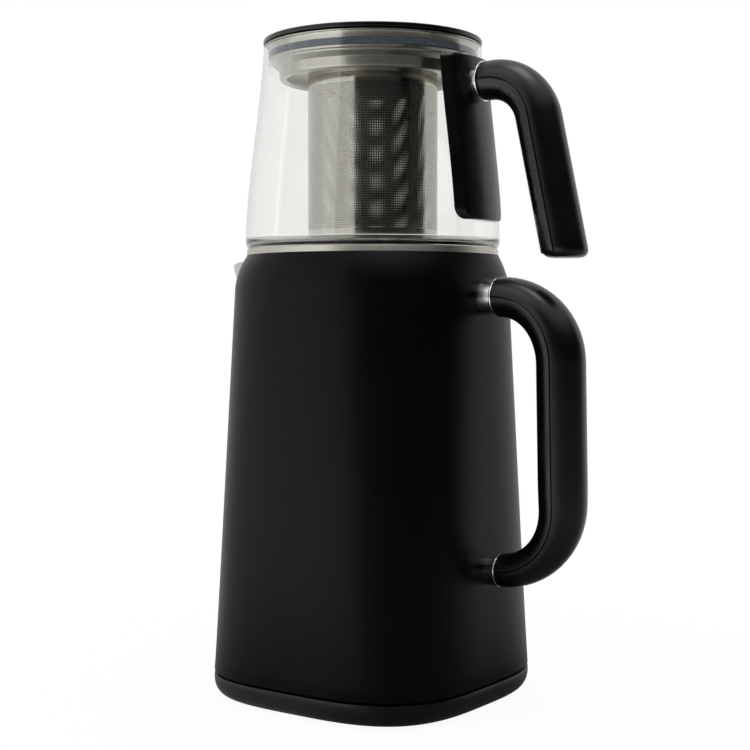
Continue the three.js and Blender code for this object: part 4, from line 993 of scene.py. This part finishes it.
def halfShell(marks, radiusAt, side, tipRadius):
    # side is 1 for the outer half and -1 for the half that the fingers touch; a free tip is cut level
    travelled = [0]
    for near, far in zip(marks, marks[1:]):
        travelled.append(travelled[-1] + (far[0] - near[0]).length)
    total = travelled[-1]
    stations = list(zip(marks, travelled))
    if tipRadius:
        tip, along = marks[-1]
        stations = [(mark, way) for mark, way in stations if way < total - tipRadius - 1]
        for i in range(grooveShape["tipSteps"] + 1):
            back = tipRadius * (1 - math.sin(i / grooveShape["tipSteps"] * math.pi / 2))
            stations.append(((tip - along * back, along), total - back))
    across = Vector((0, -side, 0))
    steps = grooveShape["arcSteps"]
    low = grooveShape["gap"] / 2
    lip = grooveShape["lip"]
    bm = bmesh.new()
    turns = [math.pi * i / (steps + 2) for i in range(steps + 3)]
    ring = wireLoop(bm, [(math.cos(turn), math.sin(turn), 0) for turn in turns])
    spots = {}

    def place(verts, station):
        # the first loop keeps the order it was drawn in, later ones follow the vertices they grew from
        found = {vert: i for i, vert in enumerate(verts)}
        if station:
            for vert in verts:
                neighbours = [edge.other_vert(vert) for edge in vert.link_edges]
                found[vert] = next(spots[other] for other in neighbours if other in spots)
        spots.clear()
        spots.update(found)
        (point, along), way = stations[station]
        out = across.cross(along)
        radius = radiusAt(way / total)
        if total - way < tipRadius:
            radius -= tipRadius - math.sqrt(max(tipRadius ** 2 - (tipRadius - total + way) ** 2, 0))
            out = out - along * out.z / along.z
        first = math.asin(min((low + lip) / radius, 1))
        for vert, spot in spots.items():
            if spot in (0, steps + 2):
                sideways = (radius - lip) * (1 if spot == 0 else -1)
                rise = low
            else:
                angle = mixed(first, math.pi - first, (spot - 1) / steps)
                sideways = radius * math.cos(angle)
                rise = radius * math.sin(angle)
            vert.co = (point + across * sideways + out * rise) * mm

    growLoop(bm, ring, len(stations), place)
    closeEnds(bm)
    return bm


def addShells(name, body, marks, radiusAt, rootEdge, tipRadius=0):
    for side, half in ((1, "outer"), (-1, "inner")):
        bm = halfShell(marks, radiusAt, side, tipRadius)
        softenEdges(bm, grooveShape["endRound"], 3, 60, rootEdge)
        finishPiece(f"{name}_grip_{half}", bm, satinBlack, body,
                    f"{body}_handle_{half}_shell", 35)


def kettleGripRadius(share):
    rise = min(share / kettleGrip["topBlend"], (1 - share) / kettleGrip["bottomBlend"], 1)
    end = kettleGrip["topRadius"] if share < 0.5 else kettleGrip["bottomRadius"]
    return mixed(end, kettleGrip["radius"], rise * rise * (3 - 2 * rise))


def addKettleHandle():
    shape = kettleGrip
    top = shape["topLevel"]
    bottom = shape["bottomLevel"]
    starts = [bodyReach(level) + shape["ferrules"][name]["length"] + shape["ferruleGap"]
              for level, name in ((top, "upper"), (bottom, "lower"))]
    corners = [(starts[0], top), (shape["topReach"], top),
               (shape["bottomReach"], bottom + shape["bottomRise"]), (starts[1], bottom)]
    marks = bentPath(corners, [shape["topBend"], shape["bottomBend"]])
    limit = (max(starts) + grooveShape["endReach"]) * mm

    def rootEdge(edge):
        # the outlines of the two ends that meet the ferrules
        near, far = edge.verts
        return max(near.co.x, far.co.x) < limit and abs(near.co.x - far.co.x) < grooveShape["endSpread"] * mm

    addShells("kettle", "kettle", marks, kettleGripRadius, rootEdge)


def addFerrules():
    shape = kettleGrip
    spigot = shape["spigotRadius"]
    for level, name in ((shape["topLevel"], "upper"), (shape["bottomLevel"], "lower")):
        ferruleShape = shape["ferrules"][name]
        radius = ferruleShape["radius"]
        ring = radius + shape["ringRise"]
        length = shape["sink"] + ferruleShape["length"]
        end = length + shape["spigotLength"]
        outline = [(0, 0), (radius - ferruleShape["flare"], 0), (radius, length * 0.45),
                   (radius - ferruleShape["taper"], length - 1.6), (ring, length - 1.3), (ring, length),
                   (radius - 2, length), (spigot, length), (spigot, end), (0, end)]
        ferrule = softenEdges(spinOutline(outline, 72), 0.22, 3, 30)
        layAlong(ferrule, "X", (bodyReach(level) - shape["sink"], 0, level))
        finishPiece(f"{name}_ferrule", ferrule, chrome, "kettle",
                    f"kettle_handle_{name}_ferrule", 30)


addKettleHandle()
addFerrules()
print("kettle handle moulded")


# Glass teapot

potShape = {
    "foot": 247.7,
    "height": 111,
    "wall": 2,
    "footRadius": 68.5,
    "heelRadius": 70.9,
    "heelRise": 6.3,
    "mouthRadius": 60.5,
    "puntRadius": 54,
    "puntRise": 1,
    "pulls": ((69.6, 40.3), (62.4, 77.3)),
    "around": 144,
    "wallSteps": 28,
    "heelSteps": 10,
    "footSteps": 8,
}


def curvePoints(anchors, steps):
    # points along the smooth curve that starts and ends at its anchors and is pulled by the others
    marks = []
    for i in range(steps + 1):
        points = anchors
        while len(points) > 1:
            points = [(mixed(near[0], far[0], i / steps), mixed(near[1], far[1], i / steps))
                      for near, far in zip(points, points[1:])]
        marks.append(points[0])
    return marks


def potWall():
    low = potShape["foot"]
    anchors = [(potShape["heelRadius"], low + potShape["heelRise"])]
    anchors += [(radius, low + rise) for radius, rise in potShape["pulls"]]
    anchors.append((potShape["mouthRadius"], low + potShape["height"]))
    return curvePoints(anchors, potShape["wallSteps"])


def glassRadius(height):
    wall = potWall()
    for (nearRadius, near), (farRadius, far) in zip(wall, wall[1:]):
        if height <= far:
            return mixed(nearRadius, farRadius, shareOf(height, near, far))
    return potShape["mouthRadius"]


def addGlass():
    shape = potShape
    wall = potWall()
    thick = shape["wall"]
    low = shape["foot"]
    floor = low + thick
    punt = shape["puntRadius"]
    rise = shape["puntRise"]
    heel = shape["heelRadius"]
    innerRadius = heel - thick
    outline = [(0, low + rise), (punt, low + rise), (punt + 2.5, low + 0.25), (punt + 4.5, low)]
    outline += curvePoints([(shape["footRadius"], low), (heel, low), wall[0]], shape["heelSteps"])
    outline += wall[1:-1]
    bead = thick / 2
    outline += arcPoints((shape["mouthRadius"] - bead, low + shape["height"] - bead), bead, 0, 180, 8)
    outline += [(radius - thick, height) for radius, height in reversed(wall[1:-1])]
    innerFoot = [(innerRadius, wall[0][1]), (innerRadius, floor), (shape["footRadius"] - 3.5, floor)]
    outline += curvePoints(innerFoot, shape["footSteps"]) + [(punt, floor + rise), (0, floor + rise)]
    pot = spinOutline(outline, shape["around"])
    finishPiece("glass_pot", pot, glass, "teapot", "teapot_glass", 50)


# Teapot bracket: a moulded slab that hugs the glass and carries the handle

bracketShape = {
    "low": 261.4,
    "high": 348.6,
    "halfWidth": 21.5,
    "faceHalfWidth": 18.3,
    "edgeThickness": 2.2,
    "crownThickness": 5.6,
    "gap": 0.3,
    "bottomCorner": 6,
    "topCorner": 3,
    "faceRound": 0.6,
    "cutsAcross": 12,
    "cutsUp": 16,
}


def addBracket():
    shape = bracketShape
    half = shape["halfWidth"]
    low = shape["low"]
    high = shape["high"]
    bm = bmesh.new()
    corners = wireLoop(bm, [(0, -half, low), (0, half, low), (0, half, high), (0, -half, high)])
    bmesh.ops.contextual_create(bm, geom=bm.edges[:])
    for pair, width in ((corners[:2], shape["bottomCorner"]), (corners[2:], shape["topCorner"])):
        bmesh.ops.bevel(bm, geom=pair, offset=width * mm, offset_type="OFFSET", segments=8, profile=0.5,
                        affect="VERTICES", material=-1)
    for axis, start, end, steps in (((0, 1, 0), -half, half, shape["cutsAcross"]),
                                    ((0, 0, 1), low, high, shape["cutsUp"])):
        for i in range(1, steps):
            bmesh.ops.bisect_plane(bm, geom=bm.verts[:] + bm.edges[:] + bm.faces[:], dist=1e-7,
                                   plane_co=Vector(axis) * mixed(start, end, i / steps) * mm, plane_no=axis)
    back = bm.verts[:]
    face = newVerts(bmesh.ops.extrude_face_region(bm, geom=bm.faces[:], use_keep_orig=True)["geom"])
    for vert in back:
        y = vert.co.y / mm
        vert.co.x = math.sqrt((glassRadius(vert.co.z / mm) + shape["gap"]) ** 2 - y * y) * mm
    for vert in face:
        side = vert.co.y / mm / half
        crown = mixed(shape["edgeThickness"], shape["crownThickness"], 1 - side * side)
        vert.co.x = (glassRadius(vert.co.z / mm) + crown) * mm
        vert.co.y = side * shape["faceHalfWidth"] * mm
    softenEdges(bm, shape["faceRound"], 4, 30)
    finishPiece("pot_bracket", bm, satinBlack, "teapot", "teapot_handle_bracket", 38)


potGrip = {
    "level": 334.7,
    "root": 73.3,
    "neckRadius": 7.3,
    "neckGap": 0.3,
    "bracketReach": 3,
    "ringRadius": 10.6,
    "ringBore": 5.8,
    "ringThickness": 0.9,
    "spigotRadius": 5.5,
    "spigotLength": 6,
    "bendReach": 100.4,
    "bendRise": 1,
    "bend": 27.7,
    "tipReach": 121.5,
    "tipDrop": 94.3,
    "tipRadius": 5,
    "endRadius": 10.2,
    "radius": 12.1,
    "blend": 0.35,
}


def addPotHandle():
    shape = potGrip
    level = shape["level"]
    root = shape["root"]
    corners = [(root, level), (shape["bendReach"], level + shape["bendRise"]),
               (shape["tipReach"], level - shape["tipDrop"])]

    def radiusAt(share):
        return mixed(shape["endRadius"], shape["radius"], min(share / shape["blend"], 1))

    def rootEdge(edge):
        return all(abs(vert.co.x - root * mm) < grooveShape["endSpread"] * mm for vert in edge.verts)

    addShells("pot", "teapot", bentPath(corners, [shape["bend"]]), radiusAt, rootEdge, shape["tipRadius"])
    start = glassRadius(level) + shape["bracketReach"]
    ringStart = root - shape["ringThickness"] - shape["neckGap"]
    length = ringStart - shape["neckGap"] - start
    end = ringStart - start + shape["spigotLength"]
    radius = shape["neckRadius"]
    spigot = shape["spigotRadius"]
    outline = [(0, 0), (radius, 0), (radius, length), (spigot, length), (spigot, end), (0, end)]
    neck = softenEdges(spinOutline(outline, 64), 0.3)
    layAlong(neck, "X", (start, 0, level))
    finishPiece("pot_neck", neck, chrome, "teapot", "teapot_handle_neck", 30)
    bore = shape["ringBore"]
    radius = shape["ringRadius"]
    thick = shape["ringThickness"]
    outline = [(bore, 0), (radius, 0), (radius, thick), (bore, thick)]
    ring = softenEdges(spinOutline(outline, 72, closed=True), 0.2)
    layAlong(ring, "X", (ringStart, 0, level))
    finishPiece("pot_end_ring", ring, chrome, "teapot", "teapot_handle_end_ring", 30)


addGlass()
addBracket()
addPotHandle()
print("teapot blown and handled")


# Infuser: a stepped rim drawn from sheet, a perforated tube and a base cup

infuserShape = {
    "top": 359.8,
    "sheet": 0.6,
    "collarRadius": 35.1,
    "bend": 0.45,
    "around": 128,
    "meshRadius": 36.1,
    "meshLow": 252.4,
    "meshHigh": 341.2,
    "plainLow": 4.6,
    "plainHigh": 4.6,
    "pitch": 1.3,
    "hole": 0.39,
    "seamAngle": -15.7,
    "seamWidth": 5.4,
    "seamFoot": 8,
    "cupRadius": 34.8,
    "cupHeight": 4,
    "cupSheet": 0.8,
}


def addInfuserRim():
    shape = infuserShape
    top = shape["top"]
    collar = shape["collarRadius"]
    # from the outer edge down the sleeve, over the shoulder, round the channel and down the collar
    drops = [(60.1, 0.5), (57.5, 0.7), (56.8, 1.4), (56.8, 8.8), (56.2, 9.3), (55.6, 9.4), (55.4, 10.2),
             (53.6, 11.6), (51.7, 12.6), (51.4, 13.2), (51.3, 17.9), (50.7, 18.6), (48.7, 18.6), (48.1, 17.9),
             (47.9, 14.3), (collar + 1, 14.3), (collar, 15.4), (collar, 21.6)]
    bm = spinOutline([(radius, top - drop) for radius, drop in drops], shape["around"])
    softenEdges(bm, shape["bend"], 2, 20)
    bmesh.ops.recalc_face_normals(bm, faces=bm.faces)
    bmesh.ops.solidify(bm, geom=bm.faces[:], thickness=shape["sheet"] * mm)
    finishPiece("infuser_collar", bm, spunSteel, "infuser", "infuser_rim", 40)


def addInfuserTube():
    shape = infuserShape
    radius = shape["meshRadius"]
    low = shape["meshLow"]
    high = shape["meshHigh"]
    columns = round(math.tau * radius / shape["pitch"])
    rows = round((high - low) / shape["pitch"])
    seam = math.radians(shape["seamAngle"]) % math.tau

    def plain(column, row):
        # the two borders and the welded seam
        away = abs((column + 0.5) / columns * math.tau - seam) * radius
        height = mixed(low, high, (row + 0.5) / rows)
        inSeam = away < shape["seamWidth"] / 2 and height > low + shape["seamFoot"]
        return height < low + shape["plainLow"] or height > high - shape["plainHigh"] or inSeam

    bm = perforatedSheet(columns, rows, radius, (low, high), (0, math.tau), plain, shape["hole"])
    finishPiece("infuser_tube", bm, perforatedSteel, "infuser", "infuser_mesh", 60)
    cup = shape["cupRadius"]
    sheet = shape["cupSheet"]
    top = low + shape["cupHeight"]
    floor = spinOutline([(0, low), (cup, low), (cup, top), (cup - sheet, top), (cup - sheet, low + sheet),
                         (0, low + sheet)])
    softenEdges(floor, 0.5)
    finishPiece("infuser_floor", floor, spunSteel, "infuser", "infuser_base_cup")


sealShape = {
    "inner": 57.1,
    "outer": 57.9,
    "low": 351.4,
    "high": 355.3,
    "ribs": 2,
}


def addInfuserSeal():
    # a band round the sleeve that grips the glass by its ribs
    shape = sealShape
    inner = shape["inner"]
    outer = shape["outer"]
    thin = mixed(inner, outer, 0.4)
    outline = [(inner, shape["high"]), (inner, shape["low"]), (thin, shape["low"])]
    step = (shape["high"] - shape["low"]) / shape["ribs"]
    for rib in range(shape["ribs"]):
        low = shape["low"] + rib * step
        outline += [(outer, low + step * 0.35), (outer, low + step * 0.65), (thin, low + step)]
    band = softenEdges(spinOutline(outline, infuserShape["around"], closed=True), 0.12, 2)
    finishPiece("infuser_band", band, gasketSilicone, "infuser", "infuser_seal")


addInfuserRim()
addInfuserSeal()
addInfuserTube()
print("infuser drawn and perforated")


# Lid

lidShape = {
    "low": 360.1,
    "radius": 60.7,
    "thickness": 2.6,
    "edgeRound": 0.7,
    "plugTop": 359.8,
    "plugRadius": 53.6,
    "plugDepth": 8,
    "plugFlange": 55.6,
    "plugWall": 1.4,
    "gasketInner": 53.9,
    "gasketOuter": 55.7,
    "gasketTop": 358.3,
    "gasketHeight": 3.2,
    "gasketRib": 0.8,
    "knobRadius": 15,
    "knobNeck": 9,
    "knobHeight": 7.4,
    "knobCap": 4.4,
    "knobSink": 0.2,
    "screwBore": 2.3,
    "screwDepth": 5,
    "around": 128,
}


def addLid():
    shape = lidShape
    radius = shape["radius"]
    bore = shape["screwBore"]
    low = shape["low"]
    top = low + shape["thickness"]
    plate = spinOutline([(bore, low), (radius, low), (radius, top), (radius - 4, top),
                         (radius - 5.2, top - 0.5), (bore, top - 0.5)], shape["around"], closed=True)
    softenEdges(plate, shape["edgeRound"], 4, 25)
    finishPiece("lid_disc", plate, satinBlack, "lid", "lid_plate")

    plugTop = shape["plugTop"]
    bottom = plugTop - shape["plugDepth"]
    outer = shape["plugRadius"]
    flange = shape["plugFlange"]
    inner = outer - shape["plugWall"]
    floor = bottom + shape["plugWall"]
    plug = spinOutline([(0, bottom), (outer, bottom), (outer, plugTop - 1.2), (flange, plugTop - 1.2),
                        (flange, plugTop), (inner, plugTop), (inner, floor), (0, floor)], shape["around"])
    finishPiece("lid_plug_cup", softenEdges(plug, 0.4), darkMoulding, "lid", "lid_plug")

    high = shape["gasketTop"]
    deep = high - shape["gasketHeight"]
    rib = shape["gasketRib"]
    outer = shape["gasketOuter"]
    groove = outer - 0.6
    inner = shape["gasketInner"]
    gasket = spinOutline([(inner, deep), (groove, deep), (outer, deep + rib), (groove, deep + 2 * rib),
                          (outer, deep + 3 * rib), (groove, high), (inner, high)],
                         shape["around"], closed=True)
    finishPiece("lid_seal", softenEdges(gasket, 0.2, 2), gasketSilicone, "lid", "lid_gasket")


def addKnob():
    shape = lidShape
    low = shape["low"] + shape["thickness"] - shape["knobSink"]
    high = low + 0.5 + shape["knobHeight"]
    cap = high - shape["knobCap"]
    bore = shape["screwBore"]
    boreEnd = low + shape["screwDepth"]
    neck = shape["knobNeck"]
    radius = shape["knobRadius"]
    knob = spinOutline([(0, boreEnd), (bore, boreEnd), (bore, low), (neck + 1, low), (neck, low + 1.2),
                        (neck, cap - 1), (radius - 1, cap), (radius, cap + 1), (radius, high - 1),
                        (radius - 1.6, high - 0.2), (radius * 0.5, high - 0.7), (0, high - 0.9)], 80)
    finishPiece("lid_grip", softenEdges(knob, 0.5, 3, 24), satinBlack, "lid", "lid_knob", 30)


addLid()
addKnob()
print("lid moulded")


# Screws and hidden pieces keep their CAD shapes and get their finish here

def dressNode(node, material):
    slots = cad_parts[node].data.materials
    slots.clear()
    slots.append(material)


for node in ("kettle_handle_upper_screw", "kettle_handle_lower_screw", "teapot_bracket_screw",
             "lid_knob_screw"):
    dressNode(node, spunSteel)
dressNode("thermostat", darkMoulding)
dressNode("heating_plate", castAluminium)
dressNode("switch_board", boardLaminate)
print("hidden pieces dressed")


# Studio: white all round but for a dark side by the camera, which black pieces mirror

studio = {
    "floor": -1.2,
    "size": 6000,
    "fadeStart": 0.08,
    "fadeEnd": 0.35,
    "mirrorEnd": 0.35,
    "mirrorNear": 0.35,
    "floorDark": 0.3,
    "floorAzimuth": 75,
    "floorHalfWidth": 55,
    "floorEdge": 25,
    "contactShare": 0.95,
    "brightLevel": 0.85,
    "darkLevel": 0.02,
    "darkAzimuth": 39.5,
    "darkHalfWidth": 99.5,
    "darkEdge": 2,
    "skyStart": 0.5,
    "skyFull": 0.75,
}

lamps = {
    "LeftPanel": {
        "place": (-0.27, -0.35, 0.46),
        "target": (-0.27, 0, 0.46),
        "size": (0.6, 0.9),
        "power": 1.5,
    },
    "TopSoftbox": {
        "place": (0.17, -0.1, 1.5),
        "target": (0, 0, 0.2),
        "size": (0.6, 0.6),
        "power": 4,
    },
}


def sideLevel(tree, direction, azimuth, edge, soft, dark):
    # how bright the studio is in a direction from the object: one side of it is dark
    middle = math.radians(azimuth)
    facing = addNode(tree, "ShaderNodeVectorMath", settings={"operation": "DOT_PRODUCT"},
                     values={1: (math.sin(middle), -math.cos(middle), 0)}, links={0: direction})
    level = addNode(tree, "ShaderNodeMapRange", settings={"interpolation_type": "SMOOTHSTEP"},
                    values={"From Min": math.cos(math.radians(edge + soft)),
                            "From Max": math.cos(math.radians(edge - soft)),
                            "To Min": studio["brightLevel"], "To Max": dark},
                    links={"Value": facing.outputs["Value"]})
    return level.outputs["Result"]


def seenStraight(tree, ray):
    # 1 for what the camera sees itself or through glass, 0 for what a surface mirrors
    first = addNode(tree, "ShaderNodeMath", settings={"operation": "LESS_THAN"}, values={1: 0.5},
                    links={0: ray.outputs["Glossy Depth"]})
    through = addNode(tree, "ShaderNodeMath", settings={"operation": "MULTIPLY"},
                      links={0: ray.outputs["Is Transmission Ray"], 1: first.outputs["Value"]})
    straight = addNode(tree, "ShaderNodeMath", settings={"operation": "MAXIMUM"},
                       links={0: ray.outputs["Is Camera Ray"], 1: through.outputs["Value"]})
    return straight.outputs["Value"]


def whiteSweep():
    # white paper: plain white to the camera but for a shadow by the object, and dimmer there in mirrors
    material, tree, paper = startMaterial("WhitePaper", {
        "Base Color": linearColour("#ffffff"),
        "Roughness": 0.9,
    })
    ray = addNode(tree, "ShaderNodeLightPath")
    where = addNode(tree, "ShaderNodeTexCoord").outputs["Object"]
    outward = addNode(tree, "ShaderNodeVectorMath", settings={"operation": "NORMALIZE"}, links={0: where})
    reach = addNode(tree, "ShaderNodeVectorMath", settings={"operation": "LENGTH"}, links={0: where})
    fade, dimmed = [
        addNode(tree, "ShaderNodeMapRange", links={"Value": reach.outputs["Value"]},
                values={"From Min": studio["fadeStart"], "From Max": end, "To Min": near, "To Max": 1})
        for end, near in ((studio["fadeEnd"], studio["contactShare"]),
                          (studio["mirrorEnd"], studio["mirrorNear"]))
    ]
    level = sideLevel(tree, outward.outputs["Vector"], studio["floorAzimuth"], studio["floorHalfWidth"],
                      studio["floorEdge"], studio["floorDark"])
    straight = seenStraight(tree, ray)
    mirrored = addNode(tree, "ShaderNodeMath", settings={"operation": "MULTIPLY"},
                       links={0: level, 1: dimmed.outputs["Result"]})
    strength = addNode(tree, "ShaderNodeMath", settings={"operation": "MAXIMUM"},
                       links={0: mirrored.outputs["Value"], 1: straight})
    glow = addNode(tree, "ShaderNodeEmission", values={"Color": (1, 1, 1, 1)},
                   links={"Strength": strength.outputs["Value"]})
    shown = addNode(tree, "ShaderNodeMath", settings={"operation": "MULTIPLY"},
                    links={0: fade.outputs["Result"], 1: straight})
    share = addNode(tree, "ShaderNodeMath", settings={"operation": "MAXIMUM"},
                    links={0: shown.outputs["Value"], 1: ray.outputs["Is Glossy Ray"]})
    mix = addNode(tree, "ShaderNodeMixShader", links={0: share.outputs["Value"], 1: paper.outputs["BSDF"],
                                                      2: glow.outputs["Emission"]})
    tree.links.new(mix.outputs["Shader"], tree.nodes["Material Output"].inputs["Surface"])
    return material


def addFloor():
    bm = bmesh.new()
    bmesh.ops.create_grid(bm, x_segments=1, y_segments=1, size=studio["size"] / 2 * mm)
    bmesh.ops.translate(bm, verts=bm.verts, vec=(0, 0, studio["floor"] * mm))
    floor = meshObject("paper_floor", bm)
    floor.data.materials.append(whiteSweep())


def addLamp(name, shape):
    data = bpy.data.lights.new(name, "AREA")
    data.shape = "RECTANGLE"
    data.size, data.size_y = shape["size"]
    data.energy = shape["power"]
    lamp = bpy.data.objects.new(name, data)
    lamp.location = shape["place"]
    lamp.rotation_euler = (Vector(shape["target"]) - lamp.location).to_track_quat("-Z", "Y").to_euler()
    bpy.context.scene.collection.objects.link(lamp)


def lightWorld():
    world = bpy.data.worlds.new("StudioWhite")
    bpy.context.scene.world = world
    world.use_nodes = True
    tree = world.node_tree
    direction = addNode(tree, "ShaderNodeTexCoord").outputs["Generated"]
    height = addNode(tree, "ShaderNodeSeparateXYZ", links={"Vector": direction})
    sky = addNode(tree, "ShaderNodeMapRange", links={"Value": height.outputs["Z"]},
                  values={"From Min": studio["skyStart"], "From Max": studio["skyFull"],
                          "To Min": 0, "To Max": studio["brightLevel"]})
    side = sideLevel(tree, direction, studio["darkAzimuth"], studio["darkHalfWidth"], studio["darkEdge"],
                     studio["darkLevel"])
    around = addNode(tree, "ShaderNodeMath", settings={"operation": "MAXIMUM"},
                     links={0: side, 1: sky.outputs["Result"]})
    straight = seenStraight(tree, addNode(tree, "ShaderNodeLightPath"))
    strength = addNode(tree, "ShaderNodeMath", settings={"operation": "MAXIMUM"},
                       links={0: around.outputs["Value"], 1: straight})
    ground = tree.nodes["Background"]
    ground.inputs["Color"].default_value = (1, 1, 1, 1)
    tree.links.new(strength.outputs["Value"], ground.inputs["Strength"])


addFloor()
lightWorld()
for name, shape in lamps.items():
    addLamp(name, shape)
bpy.context.scene.view_settings.view_transform = "Standard"
print("studio lit")
